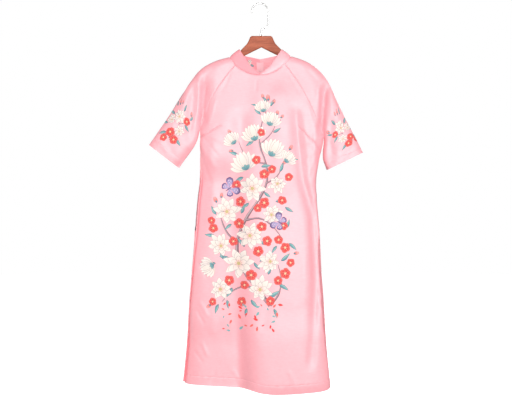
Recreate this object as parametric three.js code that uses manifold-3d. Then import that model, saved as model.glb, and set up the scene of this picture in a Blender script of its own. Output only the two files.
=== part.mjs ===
// An ao dai hung on a flat wooden hanger: a knee-length dress with raglan short sleeves, a standing collar
// with a V notch, bust darts, open side slits and a hidden zip at the centre back.
//
// Millimetres. x runs to the right of someone who faces the front, y runs away from them, z runs up.
// The origin is where a rail carries the hook: the underside of the hook's crown.
//
// The cloth hangs as a front layer and a back layer that meet along the garment's outline. Each layer is a
// smooth field, y = -fullness(x, z) in front and y = +fullness(x, z) behind, and every cut piece is a grid
// laid on those fields, thickened inwards to a wall.
import * as THREE from "three";
import * as BufferGeometryUtils from "three/addons/utils/BufferGeometryUtils.js";
import Module from "manifold-3d";

// ---------------------------------------------------------------- driving sizes
const clothWall = 1.2; // satin, its facing and the glued print
const seamGap = 0.3; // between two pieces that are sewn together
const underarmGap = 0.4; // where a sleeve, the front and the back meet in one point
const armGap = 0.7; // cloth above the hanger's arm, where it rests

const capRows = 12; // rows of a sleeve from the neck to the underarm, shared by front and back panels
const tubeRows = 6; // rows of a sleeve from the underarm to the cuff
const bodyRows = 22; // rows of a panel from the underarm to the hem
const halfColumns = 12; // columns of a panel from the centre line to one side
const sleeveColumns = 20; // columns of a sleeve from its front edge over the shoulder to its back edge
const collarRows = 3;
const slitRow = capRows + 9; // the side seam ends and the side slit starts at this row

// Half outline of the body, from the neck down, and how full the front and the back hang at each height.
const bodyTable = [
  { z: -160, left: -213, right: 213, front: 15, back: 13 },
  { z: -240, left: -212, right: 213, front: 20, back: 17 },
  { z: -320, left: -208, right: 213, front: 30, back: 22 },
  { z: -400, left: -205, right: 214, front: 38, back: 26 },
  { z: -432, left: -204, right: 215, front: 39, back: 27 },
  { z: -456, left: -204, right: 215.9, front: 38, back: 27 },
  { z: -497, left: -204, right: 209.5, front: 36, back: 26 },
  { z: -531, left: -204, right: 201.5, front: 34, back: 25 },
  { z: -599, left: -204.5, right: 191.5, front: 31, back: 24 },
  { z: -680, left: -213, right: 194.5, front: 32, back: 25 },
  { z: -789, left: -221, right: 204, front: 35, back: 27 },
  { z: -898, left: -231.5, right: 209.5, front: 38, back: 28 },
  { z: -1007, left: -241, right: 217.5, front: 41, back: 29 },
  { z: -1170, left: -251.5, right: 228, front: 44, back: 31 },
  { z: -1300, left: -264, right: 240.5, front: 46, back: 32 },
];

// Lower edge of each sleeve. Above the underarm the line runs on inside the body, where the sleeve's
// fullness blends into the body's.
const underarmTable = [
  { z: -200, left: -90, right: 104, front: 16, back: 14 },
  { z: -300, left: -140, right: 153, front: 21, back: 18 },
  { z: -378, left: -178, right: 188, front: 24, back: 20 },
  { z: -432, left: -204, right: 208.5, front: 25, back: 20 },
  { z: -456, left: -210, right: 215.9, front: 24, back: 20 },
  { z: -478, left: -219, right: 216, front: 24, back: 20 },
  { z: -503, left: -234.6, right: 213, front: 23, back: 19 },
  { z: -531, left: -255, right: 214, front: 21, back: 18 },
  { z: -558, left: -275.4, right: 224, front: 20, back: 17 },
  { z: -600, left: -308, right: 245, front: 20, back: 17 },
];

// Top outline, from the left cuff over both shoulders to the right cuff. It runs on across the neck.
const topTable = [
  { x: -377.4, z: -479.7 },
  { x: -346.8, z: -435.5 },
  { x: -309, z: -380 },
  { x: -275, z: -326 },
  { x: -251, z: -288 },
  { x: -231, z: -258 },
  { x: -214, z: -236 },
  { x: -197, z: -219.5 },
  { x: -173, z: -204.5 },
  { x: -143, z: -191.5 },
  { x: -103, z: -180.5 },
  { x: -60, z: -170 },
  { x: 0, z: -166 },
  { x: 60, z: -169 },
  { x: 105, z: -178 },
  { x: 143, z: -190 },
  { x: 170, z: -203 },
  { x: 190, z: -217 },
  { x: 206, z: -232 },
  { x: 218, z: -246 },
  { x: 229, z: -262 },
  { x: 242, z: -287 },
  { x: 259, z: -326 },
  { x: 280, z: -368 },
  { x: 306, z: -419 },
  { x: 330, z: -466 },
  { x: 350.2, z: -505 },
];

// Raglan seams from the neck to the underarm, where a sleeve is sewn to the front and to the back.
const raglanTable = {
  left: {
    front: [[-85, -210], [-125, -261], [-162, -318], [-186, -377], [-204, -432]],
    back: [[-80, -199], [-119, -252], [-156, -312], [-183, -374], [-204, -432]],
  },
  right: {
    front: [[84, -206], [131, -272], [168, -340], [195, -400], [215.9, -456]],
    back: [[80, -198], [127, -262], [164, -332], [193, -396], [215.9, -456]],
  },
};

const neckShoulder = { left: -103, right: 105 }; // x of the neck's side points on the top outline
const sleeveFold = { left: -296, right: 302 }; // x on the top outline straight across from the underarm
const cuffOuter = { left: -377.4, right: 350.2 };
const cuffInner = { left: { x: -275.4, z: -558 }, right: { x: 227.8, z: -565 } };

const neckCentre = { front: -244, back: -222 }; // height of the neckline at the centre lines
const underarmCentre = -444; // height of the centre line's point level with the underarms
const neckCurve = 2.2; // power of the neckline's curve, from its lowest point out to its sides
const underarm = { left: -432, right: -456 };

// Hem, from the left side (-1) to the right side (1).
const hemTable = [
  { across: -1, front: -1282, back: -1282 },
  { across: -0.92, front: -1290, back: -1286 },
  { across: -0.6, front: -1294, back: -1292 },
  { across: -0.1, front: -1302, back: -1299 },
  { across: 0.06, front: -1313, back: -1300 },
  { across: 0.2, front: -1316.5, back: -1301 },
  { across: 0.5, front: -1311, back: -1300 },
  { across: 0.85, front: -1303, back: -1297 },
  { across: 1, front: -1294, back: -1294 },
];

// Side slits: how far the front flap's edge lies inside the back flap's, and how far each flap stands off.
const slitTable = [
  { z: -770, left: 0, right: 0, off: 0 },
  { z: -800, left: 2.5, right: 7, off: 1.2 },
  { z: -850, left: 5, right: 11, off: 2.8 },
  { z: -950, left: 6, right: 11, off: 3.6 },
  { z: -1130, left: 6, right: 8, off: 4 },
  { z: -1200, left: 6, right: 3.5, off: 4 },
  { z: -1300, left: 6, right: 2, off: 4 },
];

// Large folds: a line from (x, z) to (toX, toZ), its half width, and its depth, less than zero in a trough.
const foldTable = {
  front: [
    { x: -68, z: -378, toX: -68, toZ: -620, width: 24, depth: -5 },
    { x: -66, z: -620, toX: -44, toZ: -1098, width: 26, depth: -6 },
    { x: -44, z: -1098, toX: -38, toZ: -1330, width: 17, depth: -9 },
    { x: 68, z: -293, toX: 68, toZ: -548, width: 26, depth: 4 },
    { x: 68, z: -548, toX: 102, toZ: -888, width: 26, depth: 5 },
    { x: 102, z: -888, toX: 60, toZ: -1160, width: 28, depth: 5 },
    { x: 60, z: -1160, toX: 14, toZ: -1330, width: 32, depth: 8 },
    { x: 119, z: -367, toX: 143, toZ: -599, width: 16, depth: -6 },
    { x: 143, z: -599, toX: 177, toZ: -718, width: 14, depth: -7 },
    { x: 177, z: -718, toX: 187, toZ: -929, width: 13, depth: -6 },
    { x: 187, z: -929, toX: 176, toZ: -1080, width: 14, depth: -3 },
    { x: -160, z: -470, toX: -160, toZ: -740, width: 20, depth: 4 },
    { x: -182, z: -270, toX: -197, toZ: -412, width: 13, depth: -7 },
    { x: -206, z: -250, toX: -206, toZ: -395, width: 11, depth: 4 },
    { x: 197, z: -276, toX: 199, toZ: -412, width: 11, depth: 4 },
    { x: 222, z: -280, toX: 207, toZ: -430, width: 11, depth: -7 },
    { x: -224, z: -293, toX: -240, toZ: -463, width: 15, depth: -5 },
    { x: 238, z: -395, toX: 243, toZ: -531, width: 14, depth: -4 },
  ],
  back: [
    { x: -96, z: -330, toX: -108, toZ: -760, width: 22, depth: -4 },
    { x: -108, z: -760, toX: -128, toZ: -1320, width: 26, depth: -5 },
    { x: 88, z: -350, toX: 96, toZ: -820, width: 22, depth: -4 },
    { x: 96, z: -820, toX: 120, toZ: -1320, width: 26, depth: -5 },
    { x: -30, z: -560, toX: -40, toZ: -1320, width: 24, depth: 4 },
    { x: 176, z: -290, toX: 190, toZ: -420, width: 13, depth: -6 },
    { x: -176, z: -290, toX: -188, toZ: -410, width: 13, depth: -6 },
    { x: -232, z: -310, toX: -246, toZ: -460, width: 15, depth: -4 },
  ],
};
const foldFade = 60; // length over which a fold dies away at each end
const foldEdge = 14; // fullness under which folds flatten out, towards the outline

const ridgeRadius = { neck: 26, sleeve: 52, from: 170, to: 280 }; // rounding under the top outline
const underarmRadius = 52; // rounding along the sleeve's lower edge
const bodyPower = 2.4; // squareness of the body's cross-section
const blendPower = 2.5; // sharpness of the valley between body and sleeve
const outlineSquare = 0.01; // below this square of fullness a point is on the outline
const slopeReach = 0.5; // distance over which a layer's slope is taken

// Standing collar: its top edge from the centre front round one side to the centre back, at each share of
// the neckline. x is for the right half; depth is y, less than zero in front.
const collarTable = [
  { share: 0, x: 1.2, z: -238.5, depth: -20 },
  { share: 0.1, x: 14, z: -229, depth: -20 },
  { share: 0.25, x: 33, z: -211, depth: -19.5 },
  { share: 0.38, x: 48, z: -189, depth: -17 },
  { share: 0.46, x: 60.5, z: -170, depth: -13.5 },
  { share: 0.505, x: 67, z: -159, depth: -9.5 },
  { share: 0.545, x: 69.5, z: -153.5, depth: 0 },
  { share: 0.585, x: 66.5, z: -158, depth: 8.5 },
  { share: 0.62, x: 62, z: -165.5, depth: 11 },
  { share: 0.7, x: 54, z: -174, depth: 12.5 },
  { share: 0.85, x: 28, z: -180, depth: 15 },
  { share: 1, x: 0.2, z: -186, depth: 16 },
];
const collarFold = 69.5; // x of the fold in the table
const collarTip = { left: -70, right: 73.5 }; // x of the collar's side points, which stretch each half

const hanger = { x: 4.5, thick: 11, round: 5, inset: 4.2, roundSteps: 3 }; // it hangs a little right of the hook's crown
// Upper outline of the hanger's head, out from its middle.
const headTable = [
  { out: 33, z: -109 },
  { out: 38, z: -113 },
  { out: 42, z: -122.5 },
  { out: 45, z: -129.5 },
  { out: 49, z: -136 },
  { out: 55.5, z: -143 },
  { out: 63, z: -150.5 },
  { out: 71, z: -159.5 },
  { out: 86, z: -175.5 },
];
const underside = { peak: -148, out: 58, z: -177 }; // its highest point, and a point out along it
const arm = { stations: 5, depth: 22, endDrop: 12, endBack: 11 }; // stations are those of the sleeve's top line

const wire = { radius: 2, sides: 8, steps: 40 };
const crown = { radius: 28, steps: 12, endAngle: 186 }; // to the wire's middle; degrees round from the right
// The wire's stem, from the ferrule up to where the crown's arc begins.
const stemTable = [
  { x: 4.5, z: -101.2 },
  { x: 4.5, z: -92 },
  { x: 8.5, z: -84.5 },
  { x: 20.5, z: -79.5 },
  { x: 26.8, z: -71 },
  { x: 27.9, z: -50 },
];
const ferrule = { radius: 5, height: 7, sides: 16 };
const touchGap = 0.3; // between two hard pieces that touch

const zip = { halfWidth: 12, wall: 1, gap: 0.7, lastRow: capRows + 5 }; // the tape ends at this row of the back
const slider = { z: -197, width: 9, height: 11, plate: 2 };
const bridge = { width: 1.6, reach: 2.2, bar: 1 }; // arch on the slider; reach is from the hinge's axis
const pull = { width: 5.4, window: 3, windowEnd: 4, length: 24, tip: 3.6, thick: 1.2 };

// ---------------------------------------------------------------- tables read as smooth curves
function slopeAt(rows, key, column, index) {
  const before = rows[Math.max(index - 1, 0)];
  const after = rows[Math.min(index + 1, rows.length - 1)];
  return (after[column] - before[column]) / (after[key] - before[key]);
}

function readTable(rows, key, column, at) {
  const rising = rows[1][key] > rows[0][key];
  const last = rows.length - 1;
  const isPast = (row) => (rising ? at >= row[key] : at <= row[key]);
  if (!isPast(rows[0])) return rows[0][column] + (at - rows[0][key]) * slopeAt(rows, key, column, 0);
  if (isPast(rows[last])) return rows[last][column] + (at - rows[last][key]) * slopeAt(rows, key, column, last);
  let index = 0;
  while (isPast(rows[index + 1])) index += 1;
  const low = rows[index];
  const high = rows[index + 1];
  const span = high[key] - low[key];
  const t = (at - low[key]) / span;
  const startSlope = slopeAt(rows, key, column, index) * span;
  const endSlope = slopeAt(rows, key, column, index + 1) * span;
  const rest = 1 - t;
  return (
    low[column] * (1 + 2 * t) * rest * rest +
    startSlope * t * rest * rest +
    high[column] * t * t * (3 - 2 * t) +
    endSlope * t * t * (t - 1)
  );
}

const mix = (a, b, t) => a + (b - a) * t;
const step01 = (t) => THREE.MathUtils.smoothstep(t, 0, 1);

// ---------------------------------------------------------------- the two layers
const topHeight = (x) => readTable(topTable, "x", "z", x);

// 0 on an edge, 1 from one radius inside it, and less than 0 outside: the square of a quarter circle.
function roundedSquare(distance, radius) {
  const q = distance / radius;
  return q > 1 ? 1 : q * (2 - q);
}

function bodyAcross(x, z) {
  const left = readTable(bodyTable, "z", "left", z);
  const right = readTable(bodyTable, "z", "right", z);
  return (x - (left + right) / 2) / ((right - left) / 2);
}

function bodyX(across, z) {
  const left = readTable(bodyTable, "z", "left", z);
  const right = readTable(bodyTable, "z", "right", z);
  return (left + right) / 2 + (across * (right - left)) / 2;
}

function foldHeight(face, x, z) {
  let height = 0;
  for (const fold of foldTable[face]) {
    const alongX = fold.toX - fold.x;
    const alongZ = fold.toZ - fold.z;
    const length = Math.hypot(alongX, alongZ);
    const along = ((x - fold.x) * alongX + (z - fold.z) * alongZ) / length;
    const across = ((x - fold.x) * alongZ - (z - fold.z) * alongX) / length;
    const fade = step01((along + foldFade / 2) / foldFade) * step01((length - along + foldFade / 2) / foldFade);
    height += fold.depth * fade * Math.exp(-((across / fold.width) ** 2));
  }
  return height;
}

// Square of a layer's fullness at (x, z): zero along the outline, less than zero outside it.
function fullnessSquared(face, x, z) {
  const side = x < 0 ? "left" : "right";
  const outward = x < 0 ? -1 : 1;
  const body = readTable(bodyTable, "z", face, z) ** 2 * (1 - Math.abs(bodyAcross(x, z)) ** bodyPower);
  const edge = readTable(underarmTable, "z", side, z);
  const edgeSlope = readTable(underarmTable, "z", side, z + 1) - edge;
  const inside = ((x - edge) * outward) / Math.hypot(1, edgeSlope);
  const sleeve = readTable(underarmTable, "z", face, z) ** 2 * roundedSquare(inside, underarmRadius);
  let both = Math.max(body, sleeve);
  if (body > 0 && sleeve > 0) both = (body ** blendPower + sleeve ** blendPower) ** (1 / blendPower);
  const topSlope = topHeight(x + 1) - topHeight(x);
  const below = (topHeight(x) - z) / Math.hypot(1, topSlope);
  const spread = step01((Math.abs(x) - ridgeRadius.from) / (ridgeRadius.to - ridgeRadius.from));
  const ridge = roundedSquare(below, mix(ridgeRadius.neck, ridgeRadius.sleeve, spread));
  if (both <= 0 || ridge <= 0) return both < 0 && ridge < 0 ? -both * ridge : both * ridge;
  const smooth = Math.sqrt(both * ridge);
  const full = smooth + foldHeight(face, x, z) * step01(smooth / foldEdge);
  return full * full;
}

const slitOff = (z) => (z > slitTable[0].z ? 0 : readTable(slitTable, "z", "off", z));

// The outer face of a layer at (x, z), and its normal, which points away from the garment's inside.
function layerPoint(face, x, z) {
  const sign = face === "front" ? -1 : 1;
  const square = fullnessSquared(face, x, z);
  const onOutline = square < outlineSquare;
  const depth = onOutline ? 0 : Math.sqrt(square);
  const slope = (stepX, stepZ) => {
    const rise = (side) => fullnessSquared(side, x + stepX, z + stepZ) - fullnessSquared(side, x - stepX, z - stepZ);
    return onOutline ? rise("front") + rise("back") : rise(face);
  };
  const normal = new THREE.Vector3(-slope(slopeReach, 0), 4 * slopeReach * sign * depth, -slope(0, slopeReach));
  // Where a sleeve, the front and the back meet, their walls part straight below the underarm.
  if (onOutline && Math.abs(z - underarm[x < 0 ? "left" : "right"]) < slopeReach && Math.abs(x) < 220) {
    normal.set(0, 0, -1);
  }
  return { point: new THREE.Vector3(x, sign * (depth + slitOff(z)), z), normal: normal.normalize() };
}

// ---------------------------------------------------------------- lines that the pieces share
function evenPoints(points, count) {
  const curve = new THREE.SplineCurve(points.map(([x, z]) => new THREE.Vector2(x, z)));
  return curve.getSpacedPoints(count).map((point) => ({ x: point.x, z: point.y }));
}

function topLine(fromX, toX, count) {
  const fine = 200;
  const points = [];
  for (let i = 0; i <= fine; i += 1) {
    const x = mix(fromX, toX, i / fine);
    points.push(new THREE.Vector2(x, topHeight(x)));
  }
  const curve = new THREE.SplineCurve(points);
  curve.arcLengthDivisions = 2000;
  return curve.getSpacedPoints(count).map((point) => ({ x: point.x, z: topHeight(point.x) }));
}

function sleeveLines(side) {
  const raglan = raglanTable[side];
  const fold = [
    ...topLine(neckShoulder[side], sleeveFold[side], capRows),
    ...topLine(sleeveFold[side], cuffOuter[side], tubeRows).slice(1),
  ];
  const lower = [];
  for (let row = 1; row <= tubeRows; row += 1) {
    const z = mix(underarm[side], cuffInner[side].z, row / tubeRows);
    lower.push({ x: readTable(underarmTable, "z", side, z), z });
  }
  return {
    fold,
    front: [...evenPoints(raglan.front, capRows), ...lower],
    back: [...evenPoints(raglan.back, capRows), ...lower],
  };
}

const lines = { left: sleeveLines("left"), right: sleeveLines("right") };

// ---------------------------------------------------------------- grids of the cut pieces
// across runs from -1 at the left edge through 0 on the centre line to 1 at the right edge.
function capPlace(face, row, across) {
  const edge = lines[across < 0 ? "left" : "right"][face][row];
  const centre = mix(neckCentre[face], underarmCentre, row / capRows);
  const z = mix(centre, edge.z, Math.abs(across) ** neckCurve);
  const edgeAngle = Math.asin(THREE.MathUtils.clamp(bodyAcross(edge.x, edge.z), -1, 1));
  return { x: bodyX(Math.sin(edgeAngle * Math.abs(across)), z), z };
}

function skirtPlace(face, row, across) {
  const side = across < 0 ? "left" : "right";
  const start = mix(underarmCentre, underarm[side], Math.abs(across) ** neckCurve);
  const z = mix(start, readTable(hemTable, "across", face, across), (row - capRows) / bodyRows);
  const past = face === "front" && row > slitRow;
  const inset = past ? readTable(slitTable, "z", side, z) : 0;
  const edgeX = bodyX(Math.sign(across), z) - Math.sign(across) * inset;
  const edgeAngle = Math.asin(Math.min(Math.abs(bodyAcross(edgeX, z)), 1));
  return { x: bodyX(Math.sign(across) * Math.sin(edgeAngle * Math.abs(across)), z), z };
}

function panelGrid(face, fromColumn, toColumn) {
  const grid = [];
  for (let row = 0; row <= capRows + bodyRows; row += 1) {
    const place = row <= capRows ? capPlace : skirtPlace;
    const line = [];
    for (let column = fromColumn; column <= toColumn; column += 1) {
      const { x, z } = place(face, row, column / halfColumns);
      line.push(layerPoint(face, x, z));
    }
    grid.push(line);
  }
  return grid;
}

function sleeveGrid(side) {
  const { fold, front, back } = lines[side];
  const grid = [];
  for (let row = 0; row <= capRows + tubeRows; row += 1) {
    const closed = step01((row - capRows + 3) / 3);
    const line = [];
    for (let column = 0; column <= sleeveColumns; column += 1) {
      const around = (2 * column) / sleeveColumns - 1;
      const edge = around < 0 ? front[row] : back[row];
      const inward = 1 - Math.abs(around);
      const open = Math.sin((Math.PI / 2) * inward);
      const share = mix(open, (1 - Math.cos(Math.PI * inward)) / 2, closed);
      const x = mix(edge.x, fold[row].x, share);
      const straightZ = mix(edge.z, fold[row].z, share);
      const z = column === sleeveColumns / 2 ? fold[row].z : straightZ;
      line.push(layerPoint(around < 0 ? "front" : "back", x, z));
    }
    grid.push(line);
  }
  return grid;
}

// ---------------------------------------------------------------- walls
function gridNormal(grid, row, column) {
  const at = (r, c) => grid[THREE.MathUtils.clamp(r, 0, grid.length - 1)][
    THREE.MathUtils.clamp(c, 0, grid[0].length - 1)].point;
  const down = at(row + 1, column).clone().sub(at(row - 1, column));
  const along = at(row, column + 1).clone().sub(at(row, column - 1));
  return down.cross(along).normalize();
}

// Moves an edge point into its piece by half the seam's gap, square to the edge and along the cloth.
function insetFrom(here, before, after, neighbour) {
  const tangent = after.point.clone().sub(before.point);
  const inward = neighbour.point.clone().sub(here.point);
  const isUnderarm = here.normal.z === -1;
  const move = isUnderarm ? new THREE.Vector3(0, 1, 0) : here.normal.clone().cross(tangent).normalize();
  if (move.dot(inward) < 0) move.negate();
  return move.multiplyScalar(seamGap / 2);
}

function seamInset(grid, row, column, closedFrom) {
  const lastRow = grid.length - 1;
  const lastColumn = grid[0].length - 1;
  const here = grid[row][column];
  const shift = new THREE.Vector3();
  const onSeam = column === 0 || column === lastColumn;
  if (row === 0 || row === lastRow) {
    const wraps = row >= closedFrom;
    const before = grid[row][column > 0 ? column - 1 : wraps ? lastColumn - 1 : 0];
    const after = grid[row][column < lastColumn ? column + 1 : wraps ? 1 : lastColumn];
    shift.add(insetFrom(here, before, after, grid[row === 0 ? 1 : lastRow - 1][column]));
  }
  if (onSeam && row < closedFrom) {
    const before = grid[Math.max(row - 1, 0)][column];
    const after = grid[Math.min(row + 1, lastRow)][column];
    shift.add(insetFrom(here, before, after, grid[row][column === 0 ? 1 : lastColumn - 1]));
  }
  if (onSeam && row === closedFrom) {
    shift.set(Math.sign(here.point.x) * underarmGap, 0, 0);
  }
  return shift;
}

// A closed wall from a grid of outer points. From row closedFrom on, the first and last columns are one.
function wallGeometry(grid, thickness, closedFrom = Infinity) {
  const rows = grid.length;
  const columns = grid[0].length;
  const outer = [];
  const inner = [];
  for (let row = 0; row < rows; row += 1) {
    for (let column = 0; column < columns; column += 1) {
      const { point, normal } = grid[row][column];
      const shift = seamInset(grid, row, column, closedFrom);
      outer.push(point.clone().add(shift));
      inner.push(point.clone().addScaledVector(normal, -thickness).add(shift));
    }
  }
  const count = rows * columns;
  const index = (row, column) => row * columns + column;
  const faces = [];
  const quad = (a, b, c, d) => faces.push(a, b, c, a, c, d);
  for (let row = 0; row < rows - 1; row += 1) {
    for (let column = 0; column < columns - 1; column += 1) {
      const [a, b] = [index(row, column), index(row, column + 1)];
      const [c, d] = [index(row + 1, column + 1), index(row + 1, column)];
      quad(a, d, c, b);
      quad(count + a, count + b, count + c, count + d);
    }
    if (row < closedFrom) {
      const [a, d] = [index(row, 0), index(row + 1, 0)];
      quad(a, count + a, count + d, d);
      const [b, c] = [index(row, columns - 1), index(row + 1, columns - 1)];
      quad(b, c, count + c, count + b);
    }
  }
  for (let column = 0; column < columns - 1; column += 1) {
    const [a, b] = [index(0, column), index(0, column + 1)];
    quad(a, b, count + b, count + a);
    const [d, c] = [index(rows - 1, column), index(rows - 1, column + 1)];
    quad(d, count + d, count + c, c);
  }
  return closedGeometry([...outer, ...inner].flatMap((p) => p.toArray()), faces);
}

function signedVolume(positions, faces) {
  let volume = 0;
  const corners = [0, 1, 2].map(() => new THREE.Vector3());
  for (let i = 0; i < faces.length; i += 3) {
    corners.forEach((corner, k) => corner.fromArray(positions, 3 * faces[i + k]));
    volume += corners[0].dot(corners[1].clone().cross(corners[2])) / 6;
  }
  return volume;
}

function closedGeometry(positions, faces) {
  if (signedVolume(positions, faces) < 0) faces.reverse();
  const geometry = new THREE.BufferGeometry();
  geometry.setAttribute("position", new THREE.Float32BufferAttribute(positions, 3));
  geometry.setIndex(faces);
  const merged = BufferGeometryUtils.mergeVertices(geometry, 1e-4);
  merged.computeVertexNormals();
  return merged;
}

// ---------------------------------------------------------------- materials
const finish = (color, roughness, metalness = 0) => new THREE.MeshStandardMaterial({ color, roughness, metalness });
const satin = () => finish(0xf5c1c6, 0.55);
const wood = () => finish(0xb86c50, 0.45);
const steel = () => finish(0xe4e4e2, 0.25, 0.9);
const zipMetal = () => finish(0xe9b3bb, 0.4, 0.3);

const garment = new THREE.Group();
function place(name, geometry, material) {
  const mesh = new THREE.Mesh(geometry, material);
  mesh.name = name;
  garment.add(mesh);
  return mesh;
}

// ---------------------------------------------------------------- the panels, the sleeves and the collar
const grids = {
  front: panelGrid("front", -halfColumns, halfColumns),
  backLeft: panelGrid("back", -halfColumns, 0),
  backRight: panelGrid("back", 0, halfColumns),
  sleeveLeft: sleeveGrid("left"),
  sleeveRight: sleeveGrid("right"),
};

// The neckline of one half from the centre front over the shoulder to the centre back.
function neckline(side) {
  const half = side === "left" ? grids.front[0].slice(0, halfColumns + 1).reverse() : grids.front[0].slice(halfColumns);
  const over = side === "left" ? grids.sleeveLeft[0] : grids.sleeveRight[0];
  const behind = side === "left" ? grids.backLeft[0] : grids.backRight[0].slice().reverse();
  return [...half, ...over.slice(1), ...behind.slice(1)];
}

function collarGrid(side) {
  const base = neckline(side);
  const sign = side === "left" ? -1 : 1;
  const stretch = Math.abs(collarTip[side]) / collarFold;
  const lengths = [0];
  for (let i = 1; i < base.length; i += 1) {
    lengths.push(lengths[i - 1] + base[i].point.distanceTo(base[i - 1].point));
  }
  const grid = [];
  for (let row = 0; row <= collarRows; row += 1) {
    const up = row / collarRows;
    grid.push(base.map((start, i) => {
      const share = lengths[i] / lengths[base.length - 1];
      const read = (column) => readTable(collarTable, "share", column, share);
      const top = new THREE.Vector3(sign * stretch * read("x"), read("depth"), read("z"));
      return { point: start.point.clone().lerp(top, up), normal: new THREE.Vector3() };
    }));
  }
  const outward = side === "left" ? 1 : -1;
  grid.forEach((line, row) => line.forEach((spot, column) => {
    spot.normal.copy(gridNormal(grid, row, column)).multiplyScalar(outward);
  }));
  // The collar and the cloth below it share one normal along their seam.
  base.forEach((spot, column) => {
    spot.normal.add(grid[0][column].normal).normalize();
    grid[0][column].normal.copy(spot.normal);
  });
  return grid;
}

const collars = { left: collarGrid("left"), right: collarGrid("right") };

place("front", wallGeometry(grids.front, clothWall), satin());
place("back_left", wallGeometry(grids.backLeft, clothWall), satin());
place("back_right", wallGeometry(grids.backRight, clothWall), satin());
place("sleeve_left", wallGeometry(grids.sleeveLeft, clothWall, capRows), satin());
place("sleeve_right", wallGeometry(grids.sleeveRight, clothWall, capRows), satin());
place("collar_left", wallGeometry(collars.left, clothWall), satin());
place("collar_right", wallGeometry(collars.right, clothWall), satin());


// ---------------------------------------------------------------- the hidden zip
// The spot on a row of outer points, from the centre back outwards, at a distance from the centre back.
function spotAlong(row, distance) {
  let index = 1;
  while (Math.abs(row[index].point.x - row[0].point.x) < distance) index += 1;
  const [near, far] = [row[index - 1], row[index]];
  const reach = Math.abs(far.point.x - near.point.x);
  const t = (distance - Math.abs(near.point.x - row[0].point.x)) / reach;
  return { point: near.point.clone().lerp(far.point, t), normal: near.normal.clone().lerp(far.normal, t).normalize() };
}

// The tape lies flat against the inside of the collar's back and of the panels, a touch away from them.
function tapeGrid() {
  const collarPart = collars.left.map((row, i) => [row.slice().reverse(), collars.right[i].slice().reverse()]).reverse();
  const panelPart = grids.backLeft.map((row, i) => [row.slice().reverse(), grids.backRight[i]]).slice(1, zip.lastRow + 1);
  return [...collarPart.slice(1), ...panelPart].map(([left, right]) => {
    const spots = [spotAlong(left, zip.halfWidth), spotAlong(right, 0.01), spotAlong(right, zip.halfWidth)];
    return spots.map(({ point, normal }) => ({ point: point.addScaledVector(normal, -clothWall - zip.gap), normal }));
  });
}

// How far back the collar's outer face stands at the centre back, at height z.
function collarBack(z) {
  const [foot, head] = [collars.right[0], collars.right[collarRows]].map((row) => row[row.length - 1].point);
  return mix(foot.y, head.y, (z - foot.z) / (head.z - foot.z));
}

const wasm = await Module();
wasm.setup();

function solidOf(geometry) {
  const bare = geometry.clone();
  bare.deleteAttribute("normal");
  bare.deleteAttribute("uv");
  const merged = BufferGeometryUtils.mergeVertices(bare, 1e-4);
  const vertProperties = Float32Array.from(merged.attributes.position.array);
  return new wasm.Manifold(new wasm.Mesh({ numProp: 3, vertProperties, triVerts: Uint32Array.from(merged.index.array) }));
}

function joined(first, second) {
  const mesh = solidOf(first).add(solidOf(second)).getMesh();
  return closedGeometry(Array.from(mesh.vertProperties), Array.from(mesh.triVerts));
}

const plateFace = collarBack(slider.z) + touchGap + slider.plate;
const hingeY = plateFace + bridge.reach - bridge.bar;

function sliderGeometry() {
  const plate = new THREE.BoxGeometry(slider.width, slider.plate, slider.height);
  plate.translate(0, plateFace - slider.plate / 2, 0);
  const [far, near, root] = [bridge.reach, bridge.reach - bridge.bar, bridge.bar - bridge.reach - slider.plate / 2];
  const outline = [[root, far], [far, far], [far, -far], [root, -far], [root, -near], [near, -near], [near, near], [root, near]];
  const arch = new THREE.ExtrudeGeometry(new THREE.Shape(outline.map(([y, z]) => new THREE.Vector2(y, z))), {
    depth: bridge.width,
    bevelEnabled: false,
  });
  arch.translate(0, 0, -bridge.width / 2);
  arch.applyMatrix4(new THREE.Matrix4().makeBasis(
    new THREE.Vector3(0, 1, 0), new THREE.Vector3(0, 0, 1), new THREE.Vector3(1, 0, 0)));
  arch.translate(0, hingeY, 0);
  return joined(plate, arch);
}

function pullGeometry() {
  const half = pull.width / 2;
  const bar = pull.thick / 2;
  const outline = new THREE.Shape();
  outline.moveTo(-half, bar);
  outline.lineTo(half, bar);
  outline.lineTo(half, -pull.windowEnd - 2);
  outline.lineTo(pull.tip / 2, pull.tip / 2 - pull.length);
  outline.absarc(0, pull.tip / 2 - pull.length, pull.tip / 2, 0, -Math.PI, true);
  outline.lineTo(-half, -pull.windowEnd - 2);
  const gap = new THREE.Path();
  gap.moveTo(-pull.window / 2, -bar);
  gap.lineTo(-pull.window / 2, -pull.windowEnd);
  gap.lineTo(pull.window / 2, -pull.windowEnd);
  gap.lineTo(pull.window / 2, -bar);
  outline.holes.push(gap);
  const plate = new THREE.ExtrudeGeometry(outline, { depth: pull.thick, bevelEnabled: false, curveSegments: 6 });
  return plate.translate(0, 0, -pull.thick / 2).rotateX(Math.PI / 2);
}

place("zip_tape", wallGeometry(tapeGrid(), zip.wall), satin());
place("zip_slider", sliderGeometry(), zipMetal()).position.z = slider.z;
place("zip_pull", pullGeometry(), zipMetal()).position.set(0, hingeY, slider.z);

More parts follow.
